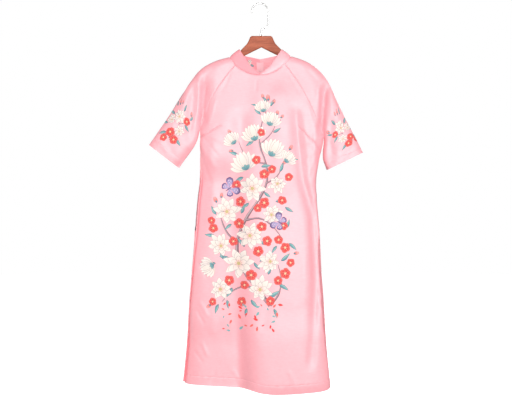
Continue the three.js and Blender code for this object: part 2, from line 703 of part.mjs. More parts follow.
// ---------------------------------------------------------------- the hanger
// Upper and lower outline of one half of the wood, out from its middle; the arm lies just under the cloth.
function woodHalf(side) {
  const sign = side === "left" ? -1 : 1;
  const head = headTable.map(({ out, z }) => new THREE.Vector2(hanger.x + sign * out, z));
  const above = lines[side].fold.slice(0, arm.stations + 1).map(({ x, z }) => {
    const { point, normal } = layerPoint("front", x, z);
    point.addScaledVector(normal, -clothWall - armGap);
    return new THREE.Vector2(point.x, point.z);
  });
  const below = above.map(({ x, y }) => new THREE.Vector2(x, y - arm.depth)).reverse();
  const end = above[above.length - 1];
  below[0].set(end.x - sign * arm.endBack, end.y - arm.depth);
  return [
    ...head,
    ...above,
    new THREE.Vector2(end.x, end.y - arm.endDrop),
    ...below,
    new THREE.Vector2(hanger.x + sign * underside.out, underside.z),
  ];
}

function woodGeometry() {
  const outline = [...woodHalf("right"), new THREE.Vector2(hanger.x, underside.peak), ...woodHalf("left").reverse()];
  const geometry = new THREE.ExtrudeGeometry(new THREE.Shape(outline), {
    depth: hanger.thick - 2 * hanger.round,
    bevelThickness: hanger.round,
    bevelSize: hanger.inset,
    bevelOffset: -hanger.inset,
    bevelSegments: hanger.roundSteps,
  });
  return geometry.rotateX(Math.PI / 2).translate(0, hanger.thick / 2 - hanger.round, 0);
}

function hookGeometry() {
  const centreZ = wire.radius - crown.radius;
  const points = stemTable.map(({ x, z }) => new THREE.Vector3(x, 0, z));
  for (let step = 0; step <= crown.steps; step += 1) {
    const angle = THREE.MathUtils.degToRad((crown.endAngle * step) / crown.steps);
    points.push(new THREE.Vector3(crown.radius * Math.cos(angle), 0, centreZ + crown.radius * Math.sin(angle)));
  }
  const section = [];
  for (let corner = 0; corner < wire.sides; corner += 1) {
    const angle = (2 * Math.PI * (corner + 0.5)) / wire.sides;
    section.push(new THREE.Vector2(wire.radius * Math.cos(angle), wire.radius * Math.sin(angle)));
  }
  return new THREE.ExtrudeGeometry(new THREE.Shape(section), {
    steps: wire.steps,
    extrudePath: new THREE.CatmullRomCurve3(points),
    bevelEnabled: false,
  });
}

const headTop = headTable[0].z;
place("hanger_wood", woodGeometry(), wood());
const ferruleMesh = place("hanger_ferrule",
  new THREE.CylinderGeometry(ferrule.radius, ferrule.radius, ferrule.height, ferrule.sides), steel());
ferruleMesh.rotation.x = Math.PI / 2;
ferruleMesh.position.set(hanger.x, 0, headTop + touchGap + ferrule.height / 2);
place("hanger_hook", hookGeometry(), steel());

export default garment;
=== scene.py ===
# An ao dai in pink printed satin, hung on a flat wooden hanger. Objects are in metres. The cutting tables
# of the cloth are in millimetres, as a pattern cutter writes them: x to the right of someone who faces the
# front, z up from the seat of the hook, and y away from them.
import math

import bmesh
import bpy
import numpy as np
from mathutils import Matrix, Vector, geometry


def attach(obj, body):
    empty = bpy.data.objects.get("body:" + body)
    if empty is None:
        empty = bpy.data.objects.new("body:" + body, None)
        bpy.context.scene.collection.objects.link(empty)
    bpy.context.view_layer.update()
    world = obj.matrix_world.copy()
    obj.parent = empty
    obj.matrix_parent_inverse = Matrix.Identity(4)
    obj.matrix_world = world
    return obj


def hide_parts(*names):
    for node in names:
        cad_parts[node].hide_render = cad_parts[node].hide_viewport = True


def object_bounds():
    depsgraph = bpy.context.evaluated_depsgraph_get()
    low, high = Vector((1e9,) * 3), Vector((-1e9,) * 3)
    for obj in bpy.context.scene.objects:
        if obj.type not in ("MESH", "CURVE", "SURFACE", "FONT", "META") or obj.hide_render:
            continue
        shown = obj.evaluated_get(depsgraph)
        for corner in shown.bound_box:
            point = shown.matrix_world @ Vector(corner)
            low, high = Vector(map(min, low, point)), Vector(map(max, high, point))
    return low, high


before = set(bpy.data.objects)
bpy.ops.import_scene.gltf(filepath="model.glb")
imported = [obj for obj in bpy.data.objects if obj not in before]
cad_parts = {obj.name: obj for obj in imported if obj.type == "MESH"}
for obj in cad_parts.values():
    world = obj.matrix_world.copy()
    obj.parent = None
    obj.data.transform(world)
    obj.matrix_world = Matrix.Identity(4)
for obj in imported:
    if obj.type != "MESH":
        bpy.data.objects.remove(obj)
cad_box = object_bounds()
MM = 0.001

# ---------------------------------------------------------------- the studio
# A camera level with the middle of the dress, three metres off, a pale floor below the hem and soft light:
# a broad key lamp beside the camera, weaker ones from the sides and behind, and a white room all round.
camera_distance = 3.0
camera_place = (-0.0136, -camera_distance, -0.6667)
seen_width = 1.7408
sensor_width = 36.0
floor_drop = 0.16
floor_height = cad_box[0][2] - floor_drop
floor_radius = 7.0
floor_glow = 0.85
room_strength = 0.27

camera_data = bpy.data.cameras.new("camera")
camera_data.sensor_width = sensor_width
camera_data.lens = sensor_width * camera_distance / seen_width
camera = bpy.data.objects.new("camera", camera_data)
camera.location = camera_place
camera.rotation_euler = (math.radians(90.0), 0.0, 0.0)
bpy.context.scene.collection.objects.link(camera)
bpy.context.scene.camera = camera
bpy.context.scene.view_settings.view_transform = "Standard"


def lamp(name, place, aim, size, power, color):
    data = bpy.data.lights.new(name, "AREA")
    data.shape = "DISK"
    data.size = size
    data.energy = power
    data.color = color
    lamp_object = bpy.data.objects.new(name, data)
    lamp_object.location = place
    lamp_object.rotation_euler = (Vector(aim) - Vector(place)).to_track_quat("-Z", "Y").to_euler()
    bpy.context.scene.collection.objects.link(lamp_object)


lamp("key_lamp", (0.45, -4.4, -0.1), (0.0, 0.0, -0.6), 1.2, 160.0, (1.0, 0.985, 0.97))
lamp("side_lamp", (3.2, -2.2, 0.5), (0.0, 0.0, -0.6), 1.0, 40.0, (1.0, 0.99, 1.0))
lamp("edge_lamp", (-3.4, -1.5, 0.0), (0.0, 0.0, -0.6), 1.2, 34.0, (1.0, 0.99, 1.0))
lamp("back_lamp", (1.2, 2.8, 0.6), (0.0, 0.0, -0.6), 1.8, 60.0, (1.0, 1.0, 1.0))

world = bpy.data.worlds.new("white_room")
bpy.context.scene.world = world
world.use_nodes = True
room = world.node_tree
room.nodes.clear()
room_light = room.nodes.new("ShaderNodeBackground")
room_light.inputs["Color"].default_value = (1.0, 0.985, 0.98, 1.0)
room_light.inputs["Strength"].default_value = room_strength
room_seen = room.nodes.new("ShaderNodeBackground")
room_seen.inputs["Color"].default_value = (1.0, 1.0, 1.0, 1.0)
room_seen.inputs["Strength"].default_value = 1.0
room_rays = room.nodes.new("ShaderNodeLightPath")
room_choice = room.nodes.new("ShaderNodeMixShader")
room_output = room.nodes.new("ShaderNodeOutputWorld")
room.links.new(room_rays.outputs["Is Camera Ray"], room_choice.inputs["Fac"])
room.links.new(room_light.outputs["Background"], room_choice.inputs[1])
room.links.new(room_seen.outputs["Background"], room_choice.inputs[2])
room.links.new(room_choice.outputs["Shader"], room_output.inputs["Surface"])

floor_mesh = bpy.data.meshes.new("floor")
floor_builder = bmesh.new()
bmesh.ops.create_circle(floor_builder, cap_ends=True, segments=64, radius=floor_radius)
bmesh.ops.translate(floor_builder, verts=floor_builder.verts, vec=(0.0, 0.0, floor_height))
floor_builder.to_mesh(floor_mesh)
floor_builder.free()
floor = bpy.data.objects.new("floor", floor_mesh)
bpy.context.scene.collection.objects.link(floor)
floor_paint = bpy.data.materials.new("pale_floor")
floor_paint.use_nodes = True
floor_tree = floor_paint.node_tree
floor_shader = floor_tree.nodes["Principled BSDF"]
floor_shader.inputs["Base Color"].default_value = (0.9, 0.9, 0.9, 1.0)
floor_shader.inputs["Roughness"].default_value = 0.9
floor_shader.inputs["Specular IOR Level"].default_value = 0.0
floor_shader.inputs["Emission Color"].default_value = (1.0, 1.0, 1.0, 1.0)
floor_shader.inputs["Emission Strength"].default_value = floor_glow
floor_grey = floor_tree.nodes.new("ShaderNodeBsdfDiffuse")
floor_grey.inputs["Color"].default_value = (0.34, 0.33, 0.33, 1.0)
floor_rays = floor_tree.nodes.new("ShaderNodeLightPath")
floor_choice = floor_tree.nodes.new("ShaderNodeMixShader")
floor_tree.links.new(floor_rays.outputs["Is Camera Ray"], floor_choice.inputs["Fac"])
floor_tree.links.new(floor_grey.outputs["BSDF"], floor_choice.inputs[1])
floor_tree.links.new(floor_shader.outputs["BSDF"], floor_choice.inputs[2])
floor_tree.links.new(floor_choice.outputs["Shader"], floor_tree.nodes["Material Output"].inputs["Surface"])
floor_mesh.materials.append(floor_paint)

# ---------------------------------------------------------------- the front panel
# One piece of satin from the collar to the hem, cut with raglan edges, two bust darts and side slits. It
# hangs almost flat, with long soft folds from the bust, and ends in a blind-stitched hem.
# The body by height: its side edges, and how full its front and back are.
body_table = {
    "z": [-160, -240, -320, -400, -432, -456, -497, -531, -599, -680, -789, -898, -1007, -1170, -1300],
    "left": [-213, -212, -208, -205, -204, -204, -204, -204, -204.5, -213, -221, -231.5, -241, -251.5, -264],
    "right": [213, 213, 213, 214, 215, 215.9, 209.5, 201.5, 191.5, 194.5, 204, 209.5, 217.5, 228, 240.5],
    "front": [15, 20, 30, 38, 39, 38, 36, 34, 31, 32, 35, 38, 41, 44, 46],
    "back": [13, 17, 22, 26, 27, 27, 26, 25, 24, 25, 27, 28, 29, 31, 32],
}
# The sleeve below the arm by height: its inner edges, and how full its front and back are.
underarm_table = {
    "z": [-200, -300, -378, -432, -456, -478, -503, -531, -558, -600],
    "left": [-90, -140, -178, -204, -210, -219, -234.6, -255, -275.4, -308],
    "right": [104, 153, 188, 208.5, 215.9, 216, 213, 214, 224, 245],
    "front": [16, 21, 24, 25, 24, 24, 23, 21, 20, 20],
    "back": [14, 18, 20, 20, 20, 20, 19, 18, 17, 17],
}
# The top edge of the whole dress, from one cuff over the shoulders to the other.
top_table = {
    "x": [-377.4, -346.8, -309, -275, -251, -231, -214, -197, -173, -143, -103, -60, 0, 60,
          105, 143, 170, 190, 206, 218, 229, 242, 259, 280, 306, 330, 350.2],
    "z": [-479.7, -435.5, -380, -326, -288, -258, -236, -219.5, -204.5, -191.5, -180.5, -170, -166, -169,
          -178, -190, -203, -217, -232, -246, -262, -287, -326, -368, -419, -466, -505],
}
# The seams between body and sleeve: points of x and z, from the neck down to the underarm.
raglan_table = {
    ("left", "front"): [(-85, -210), (-125, -261), (-162, -318), (-186, -377), (-204, -432)],
    ("left", "back"): [(-80, -199), (-119, -252), (-156, -312), (-183, -374), (-204, -432)],
    ("right", "front"): [(84, -206), (131, -272), (168, -340), (195, -400), (215.9, -456)],
    ("right", "back"): [(80, -198), (127, -262), (164, -332), (193, -396), (215.9, -456)],
}
# The heights of the hem, from -1 at its left end to 1 at its right end.
hem_table = {
    "across": [-1, -0.92, -0.6, -0.1, 0.06, 0.2, 0.5, 0.85, 1],
    "front": [-1282, -1290, -1294, -1302, -1313, -1316.5, -1311, -1303, -1294],
    "back": [-1282, -1286, -1292, -1299, -1300, -1301, -1300, -1297, -1294],
}
# The side slits by height: how far the front's edges stand in from the back's, and how far the layers part.
slit_table = {
    "z": [-770, -800, -850, -950, -1130, -1200, -1300],
    "left": [0, 1.2, 2.2, 2.6, 2.6, 2.6, 2.6],
    "right": [0, 7, 11, 11, 8, 3.5, 2],
    "off": [0, 0.6, 1.2, 1.6, 1.8, 1.8, 1.8],
}
# Large folds: from (x, z) to (x, z), half width and depth, less than zero in a trough.
fold_table = {
    "front": [
        (-64, -378, -62, -640, 26, -7), (-72, -1060, -64, -1340, 18, -5), (68, -293, 72, -640, 34, 5),
        (119, -367, 143, -599, 17, -13), (143, -599, 177, -718, 17, -15), (177, -718, 187, -929, 16, -14),
        (187, -929, 180, -1080, 16, -11), (180, -1080, 168, -1220, 16, -6), (186, -420, 186, -565, 10, 4),
        (-160, -470, -160, -740, 24, 5), (-182, -270, -197, -412, 16, -20), (-206, -250, -206, -395, 11, 5),
        (197, -276, 199, -412, 11, 5), (222, -280, 207, -430, 14, -18), (-224, -293, -240, -463, 15, -8),
        (238, -395, 243, -531, 14, -7),
    ],
    "back": [
        (-96, -330, -108, -760, 20, -7), (-108, -760, -128, -1320, 24, -10), (88, -350, 96, -820, 20, -7),
        (96, -820, 120, -1320, 24, -10), (-30, -560, -40, -1320, 24, 4), (176, -290, 190, -420, 14, -10),
        (-176, -290, -188, -410, 14, -10), (-232, -310, -246, -460, 15, -5), (20, -232, 26, -330, 8, -2.5),
        (-24, -232, -32, -340, 8, -2.5),
    ],
}
# Steps in the hang of the cloth: from (x, z) to (x, z), half width and height, nearer on the right.
step_table = {
    "front": [
        (-60, -560, -40, -1098, 70, 12), (-70, -560, -50, -1098, 24, 26), (-40, -1098, -20, -1340, 80, 14),
        (-46, -1098, -34, -1340, 28, 32), (-58, -1098, -48, -1340, 12, 6), (-22, -270, -24, -560, 22, 6),
    ],
    "back": [(40, -640, 52, -1340, 60, -14)],
}
fold_fade = 60.0
step_fade = 110.0
step_bias = 0.2
fold_edge = 14.0
neck_centre = {"front": -244.0, "back": -222.0}
underarm_height = {"left": -432.0, "right": -456.0}
neck_power = 2.2
body_power = 7.0
blend_power = 2.5
neck_round = 26.0
sleeve_round = 36.0
round_from = 170.0
round_to = 280.0
underarm_round = 38.0
across_scale = 220.0  # millimetres of cloth to a radian round the body
cloth_wall = 1.1
ink_depth = 0.9


def read(table, key, column, at):
    """Reads a table between its rows as a smooth curve, and past its ends as a straight line."""
    keys = np.array(table[key], float)
    values = np.array(table[column], float)
    if keys[0] > keys[-1]:
        keys, values = keys[::-1], values[::-1]
    slopes = np.empty_like(keys)
    slopes[1:-1] = (values[2:] - values[:-2]) / (keys[2:] - keys[:-2])
    slopes[0] = (values[1] - values[0]) / (keys[1] - keys[0])
    slopes[-1] = (values[-1] - values[-2]) / (keys[-1] - keys[-2])
    at = np.asarray(at, float)
    row = np.clip(np.searchsorted(keys, at, side="right") - 1, 0, len(keys) - 2)
    span = keys[row + 1] - keys[row]
    t = np.clip((at - keys[row]) / span, 0.0, 1.0)
    rest = 1.0 - t
    inside = (values[row] * (1 + 2 * t) * rest**2 + slopes[row] * span * t * rest**2
              + values[row + 1] * t * t * (3 - 2 * t) + slopes[row + 1] * span * t * t * (t - 1))
    before = np.minimum(at - keys[0], 0.0) * slopes[0]
    after = np.maximum(at - keys[-1], 0.0) * slopes[-1]
    return inside + before + after


def smooth_step(t):
    """Rises from 0 to 1 with level ends."""
    t = np.clip(t, 0.0, 1.0)
    return t * t * (3.0 - 2.0 * t)


def rounded_square(distance, radius):
    """The square of a round edge's height: 0 at the edge and 1 from its radius inwards."""
    q = distance / radius
    return np.where(q > 1.0, 1.0, q * (2.0 - q))


def body_across(x, z):
    """Where x lies between the sides of the body at a height: -1 at the left, 1 at the right."""
    left = read(body_table, "z", "left", z)
    right = read(body_table, "z", "right", z)
    return (x - (left + right) / 2) / ((right - left) / 2)


def body_x(across, z):
    """The x of a place between the sides of the body at a height."""
    left = read(body_table, "z", "left", z)
    right = read(body_table, "z", "right", z)
    return (left + right) / 2 + across * (right - left) / 2


def line_fold(x, z, fold, fade=fold_fade):
    """A fold or a wrinkle along a straight line, rounded across it and fading out at both ends."""
    start_x, start_z, end_x, end_z, width, depth = fold
    length = math.hypot(end_x - start_x, end_z - start_z)
    run_x = (end_x - start_x) / length
    run_z = (end_z - start_z) / length
    along = (x - start_x) * run_x + (z - start_z) * run_z
    across = (x - start_x) * run_z - (z - start_z) * run_x
    ends = smooth_step((along + fade / 2) / fade) * smooth_step((length - along + fade / 2) / fade)
    return depth * ends * np.exp(-((across / width) ** 2))


def line_step(x, z, step):
    """A step along a straight line: the cloth beyond it hangs nearer than the cloth before it."""
    start_x, start_z, end_x, end_z, width, height = step
    length = math.hypot(end_x - start_x, end_z - start_z)
    run_x = (end_x - start_x) / length
    run_z = (end_z - start_z) / length
    along = (x - start_x) * run_x + (z - start_z) * run_z
    across = (start_x - x) * run_z + (z - start_z) * run_x
    begun = smooth_step((along + step_fade / 2) / step_fade)
    ended = smooth_step((length - along + step_fade / 2) / step_fade)
    return height / 2 * (begun * ended) * (np.tanh(across / width) - step_bias)


def fullness(face, x, z):
    """How far a layer of the garment stands off its middle plane."""
    x = np.asarray(x, float)
    z = np.asarray(z, float)
    body = read(body_table, "z", face, z) ** 2 * (1.0 - np.abs(body_across(x, z)) ** body_power)
    left_side = x < 0
    edge = np.where(left_side, read(underarm_table, "z", "left", z), read(underarm_table, "z", "right", z))
    edge_up = np.where(left_side, read(underarm_table, "z", "left", z + 1),
                       read(underarm_table, "z", "right", z + 1))
    inside = (x - edge) * np.where(left_side, -1.0, 1.0) / np.hypot(1.0, edge_up - edge)
    sleeve = read(underarm_table, "z", face, z) ** 2 * rounded_square(inside, underarm_round)
    body = np.maximum(body, 0.0)
    sleeve = np.maximum(sleeve, 0.0)
    both = (body**blend_power + sleeve**blend_power) ** (1.0 / blend_power)
    top = read(top_table, "x", "z", x)
    below = (top - z) / np.hypot(1.0, read(top_table, "x", "z", x + 1) - top)
    spread = smooth_step((np.abs(x) - round_from) / (round_to - round_from))
    ridge = rounded_square(below, neck_round + (sleeve_round - neck_round) * spread)
    smooth = np.sqrt(both * np.maximum(ridge, 0.0))
    folds = sum(line_fold(x, z, fold) for fold in fold_table[face])
    folds = folds + sum(line_step(x, z, step) for step in step_table[face])
    return smooth + folds * smooth_step(smooth / fold_edge)


def slit_off(z):
    """How far each panel stands off below the top of the side slits."""
    return np.where(z > slit_table["z"][0], 0.0, read(slit_table, "z", "off", z))


def spline(points, share):
    """A smooth curve through a few points, read at shares of its length."""
    points = np.array(points, float)
    last = len(points) - 1

    def at(t):
        place = np.clip(t, 0.0, 1.0) * last
        part = np.minimum(place.astype(int), last - 1)
        w = (place - part)[:, None]
        p0, p1 = points[np.maximum(part - 1, 0)], points[part]
        p2, p3 = points[part + 1], points[np.minimum(part + 2, last)]
        v0, v1 = (p2 - p0) * 0.5, (p3 - p1) * 0.5
        return (2 * p1 - 2 * p2 + v0 + v1) * w**3 + (3 * p2 - 3 * p1 - 2 * v0 - v1) * w**2 + v0 * w + p1

    fine = np.linspace(0.0, 1.0, 600)
    steps = np.linalg.norm(np.diff(at(fine), axis=0), axis=1)
    lengths = np.concatenate([[0.0], np.cumsum(steps)])
    share = np.asarray(share, float)
    flat = at(np.interp(share.ravel(), lengths / lengths[-1], fine))
    return flat.reshape(share.shape + (points.shape[1],))


def panel_place(face):
    """Takes a spot on a panel, across and up in millimetres, to its place in the hanging garment."""
    sign = -1.0 if face == "front" else 1.0

    def place(across, up):
        angle = across / across_scale
        x = body_x(np.sin(angle), up)
        depth = fullness(face, x, up) * np.sign(np.cos(angle))
        return np.stack([x, sign * (depth + slit_off(up)), up], axis=-1)

    return place


def panel_spots(line):
    """The spots on a panel whose places have these x and z."""
    across = across_scale * np.arcsin(np.clip(body_across(line[:, 0], line[:, 1]), -1.0, 1.0))
    return np.stack([across, line[:, 1]], axis=-1)


def panel_line(spots):
    """The x and z of the places of spots on a panel."""
    return np.stack([body_x(np.sin(spots[:, 0] / across_scale), spots[:, 1]), spots[:, 1]], axis=-1)


def raglan_line(side, face, share):
    """Places on a raglan seam, at shares of the way from the neck."""
    return spline(raglan_table[side, face], share)


def neck_line(face, across):
    """The neckline of a panel, from -1 at its left raglan seam to 1 at its right one."""
    across = np.asarray(across, float)
    edge = np.array([raglan_table["left" if a < 0 else "right", face][0] for a in across], float)
    z = neck_centre[face] + (edge[:, 1] - neck_centre[face]) * np.abs(across) ** neck_power
    angle = np.arcsin(body_across(edge[:, 0], edge[:, 1])) * np.abs(across)
    return np.stack([body_x(np.sin(angle), z), z], axis=-1)


def side_line(face, side, share):
    """A side edge of a panel, from the underarm down to the hem."""
    sign = -1.0 if side == "left" else 1.0
    z = underarm_height[side] + (read(hem_table, "across", face, sign) - underarm_height[side]) * share
    inset = np.where(z < slit_table["z"][0], read(slit_table, "z", side, z), 0.0) if face == "front" else 0.0
    return np.stack([body_x(sign, z) - sign * inset, z], axis=-1)


def hem_line(face, across, rise=0.0):
    """The hem of a panel from side to side, or a line that runs at a height above it."""
    across = np.asarray(across, float)
    z = read(hem_table, "across", face, across) + rise
    spots = {}
    for side in ("left", "right"):
        corner = side_line(face, side, np.array([1.0]))
        spots[side] = abs(panel_spots(corner)[0, 0]) / across_scale
    angle = np.where(across < 0, spots["left"], spots["right"]) * across
    return np.stack([body_x(np.sin(angle), z), z], axis=-1)


def joined_edges(*edges):
    """One closed outline, counter-clockwise, from edges that follow each other."""
    outline = np.concatenate([edge[:-1] for edge in edges])
    x, y = outline.T
    area = (x * np.roll(y, -1) - y * np.roll(x, -1)).sum() / 2
    return outline if area > 0 else outline[::-1]


def nearest(spots, line):
    """Distance from each spot to a line of points, and how far along the line the nearest point is."""
    run = np.diff(line, axis=0)
    length = np.maximum(np.hypot(*run.T), 1e-6)
    begins = np.concatenate([[0.0], np.cumsum(length)])
    best = np.full(len(spots), 1e9)
    along = np.zeros(len(spots))
    for start, step, size, begin in zip(line[:-1], run, length, begins):
        away = spots - start
        t = np.clip((away @ step) / size**2, 0.0, 1.0)
        distance = np.hypot(away[:, 0] - t * step[0], away[:, 1] - t * step[1])
        closer = distance < best
        best[closer] = distance[closer]
        along[closer] = begin + t[closer] * size
    return best, along


def within(spots, outline):
    """True for each spot inside a closed outline."""
    inside = np.zeros(len(spots), bool)
    x, y = spots.T
    for (x0, y0), (x1, y1) in zip(outline, np.roll(outline, -1, axis=0)):
        if y0 != y1:
            crosses = (y0 > y) != (y1 > y)
            inside ^= crosses & (x < (x1 - x0) * (y - y0) / (y1 - y0) + x0)
    return inside


def clear_of(spots, line, clear):
    """The spots that lie farther from a line than a clearance."""
    return spots[nearest(spots, line)[0] > clear]


def lattice(outline, step_across, step_up, clear):
    """Spots in even rows inside an outline, clear of its edge."""
    low, high = outline.min(axis=0), outline.max(axis=0)
    rows = np.arange(low[1] + step_up / 2, high[1], step_up)
    columns = np.arange(low[0] + step_across / 2, high[0], step_across)
    grid = np.stack(np.meshgrid(columns, rows), axis=-1)
    grid[1::2, :, 0] += step_across / 2
    spots = grid.reshape(-1, 2)
    spots = spots[within(spots, outline)]
    return clear_of(spots, np.vstack([outline, outline[:1]]), clear)


def beside(line, offsets):
    """Rows of spots at offsets from a line, on both sides of it."""
    tangent = np.gradient(line, axis=0)
    tangent /= np.maximum(np.hypot(*tangent.T), 1e-9)[:, None]
    square = np.stack([-tangent[:, 1], tangent[:, 0]], axis=-1)
    return np.concatenate([line + square * side * offset for offset in offsets for side in (-1, 1)])


def gathered_spots(outline, lattices, rows, edge_clear=0.5, row_clear=1.0):
    """All loose spots of a piece: rows beside its seams first, then the lattice where no row is near."""
    loop = np.vstack([outline, outline[:1]])
    spots = np.concatenate(rows)
    spots = spots[within(spots, outline)]
    spots = clear_of(spots, loop, edge_clear)
    taken = {}
    kept = []
    for cell_size, group in ((row_clear, spots), (max(row_clear, 2.6), lattices)):
        for x, y in group:
            cell = (int(x // cell_size), int(y // cell_size), cell_size)
            if cell not in taken:
                taken[cell] = True
                kept.append((x, y))
    return np.array(kept)


def triangulated(outline, spots, shapes=()):
    """Cuts a flat piece of cloth into triangles along its outline, loose spots and printed shapes.

    The shapes come in paint order. The last value is each triangle's topmost shape, or 0.
    """
    verts = [Vector(p) for p in np.concatenate([outline, spots] + list(shapes))]
    faces = [list(range(len(outline)))]
    start = len(outline) + len(spots)
    for shape in shapes:
        faces.append(list(range(start, start + len(shape))))
        start += len(shape)
    inside_only = 1
    points, _, triangles, source, _, owners = geometry.delaunay_2d_cdt(verts, [], faces, inside_only, 1e-3)
    flat = np.array([(p[0], p[1]) for p in points])
    border = np.full(len(outline), -1)
    for index, origins in enumerate(source):
        for origin in origins:
            if origin < len(outline):
                border[origin] = index
    top = np.array([max(ids) if ids else 0 for ids in owners])
    return flat, np.array(triangles), border, top


def raised(place, relief, spots, inward):
    """Puts spots in their places on the cloth, raised by its relief, and gives the cloth's normals there."""
    step = 0.5
    u, v = spots.T
    base = place(u, v)
    along_u = (place(u + step, v) - place(u - step, v)) / (2 * step)
    along_v = (place(u, v + step) - place(u, v - step)) / (2 * step)
    normal = np.cross(along_u, along_v)
    normal /= np.maximum(np.linalg.norm(normal, axis=1), 1e-9)[:, None]
    outward = 1.0 if (normal[:, 1] * base[:, 1]).sum() > 0 else -1.0
    normal *= outward
    height = relief(u, v)
    rise_u = (relief(u + step, v) - relief(u - step, v)) / (2 * step)
    rise_v = (relief(u, v + step) - relief(u, v - step)) / (2 * step)
    uu, vv, uv = (along_u**2).sum(1), (along_v**2).sum(1), (along_u * along_v).sum(1)
    area = np.maximum(uu * vv - uv**2, 1e-3)
    tilt = ((vv * rise_u - uv * rise_v) / area)[:, None] * along_u
    tilt += ((uu * rise_v - uv * rise_u) / area)[:, None] * along_v
    leaning = normal - tilt
    leaning /= np.linalg.norm(leaning, axis=1)[:, None]
    return base + normal * (height - inward)[:, None], leaning, outward


def cloth_piece(name, outline, place, relief, spots, inner_spots, prints=(), inner_prints=(), plane=None,
                welds=()):
    """A cut piece of cloth as a thin closed shell, with its print in the outer or the inner face."""
    welded = {j: i for i, j in welds}
    places, faces, normals, inks, borders = [], [], [], [], []
    base = 0
    for wall, layer_spots, layer_prints in ((0.0, spots, prints), (cloth_wall, inner_spots, inner_prints)):
        shapes = [shape for shape, _ in layer_prints]
        flat, triangles, border, top = triangulated(outline, layer_spots, shapes)
        spot_places, spot_normals, outward = raised(place, relief, flat, wall)
        for j, i in welded.items():
            triangles[triangles == border[j]] = border[i]
            border[j] = border[i]
        facing = outward if wall == 0.0 else -outward
        if facing < 0:
            triangles = triangles[:, ::-1]
        corner_normals = spot_normals[triangles] * (1.0 if wall == 0.0 else -1.0)
        corner_inks = np.zeros(triangles.shape + (4,))
        drawn = plane(flat) if layer_prints else None
        for number in np.unique(top[top > 0]):
            rows = np.nonzero(top == number)[0]
            corner_inks[rows, :, :3] = ink_depth * layer_prints[number - 1][1](drawn[triangles[rows]])
            corner_inks[rows, :, 3] = 1.0
        places.append(spot_places)
        faces.append(triangles + base)
        normals.append(corner_normals)
        inks.append(corner_inks)
        borders.append(border + base)
        base += len(flat)
    outer, inner = borders
    walls = []
    for i in range(len(outline)):
        j = (i + 1) % len(outline)
        is_weld = (i in welded or i in welded.values()) and (j in welded or j in welded.values())
        if not is_weld:
            walls.append((outer[i], inner[i], inner[j]))
            walls.append((outer[i], inner[j], outer[j]))
    walls = np.array(walls) if outward > 0 else np.array(walls)[:, ::-1]
    points = np.concatenate(places)
    edges = points[walls]
    wall_normals = np.cross(edges[:, 1] - edges[:, 0], edges[:, 2] - edges[:, 0])
    wall_normals /= np.maximum(np.linalg.norm(wall_normals, axis=1), 1e-9)[:, None]
    faces.append(walls)
    normals.append(np.repeat(wall_normals[:, None, :], 3, axis=1))
    inks.append(np.zeros(walls.shape + (4,)))
    faces = np.concatenate(faces)
    used, compact = np.unique(faces, return_inverse=True)
    mesh = bpy.data.meshes.new(name)
    mesh.from_pydata((points[used] * MM).tolist(), [], compact.reshape(faces.shape).tolist())
    mesh.polygons.foreach_set("use_smooth", np.ones(len(faces), bool))
    layer = mesh.color_attributes.new("print", "FLOAT_COLOR", "CORNER")
    layer.data.foreach_set("color", np.concatenate(inks).astype(np.float32).ravel())
    inner_wall = mesh.attributes.new("inside", "FLOAT", "POINT")
    inner_wall.data.foreach_set("value", np.repeat([0.0, 1.0], [len(group) for group in places])[used])
    mesh.normals_split_custom_set(np.concatenate(normals).reshape(-1, 3).tolist())
    piece = bpy.data.objects.new(name, mesh)
    bpy.context.scene.collection.objects.link(piece)
    return piece


# ---- the relief of sewn cloth: seams that draw in, darts, a turned hem, and small wrinkles
seam_depth = 1.9
seam_width = 1.35
pucker_depth = 0.28
pucker_reach = 7.0
pucker_pitch = 11.0
hem_rise = 30.0
hem_dimple = 0.6
stitch_pitch = 9.0
side_squeeze = 0.2
# Bust darts run from a tip on the front to a side seam: tip x, tip z, end x, end z.
dart_table = {"left": (-126, -412, -203, -456), "right": (122, -415, 208, -500)}
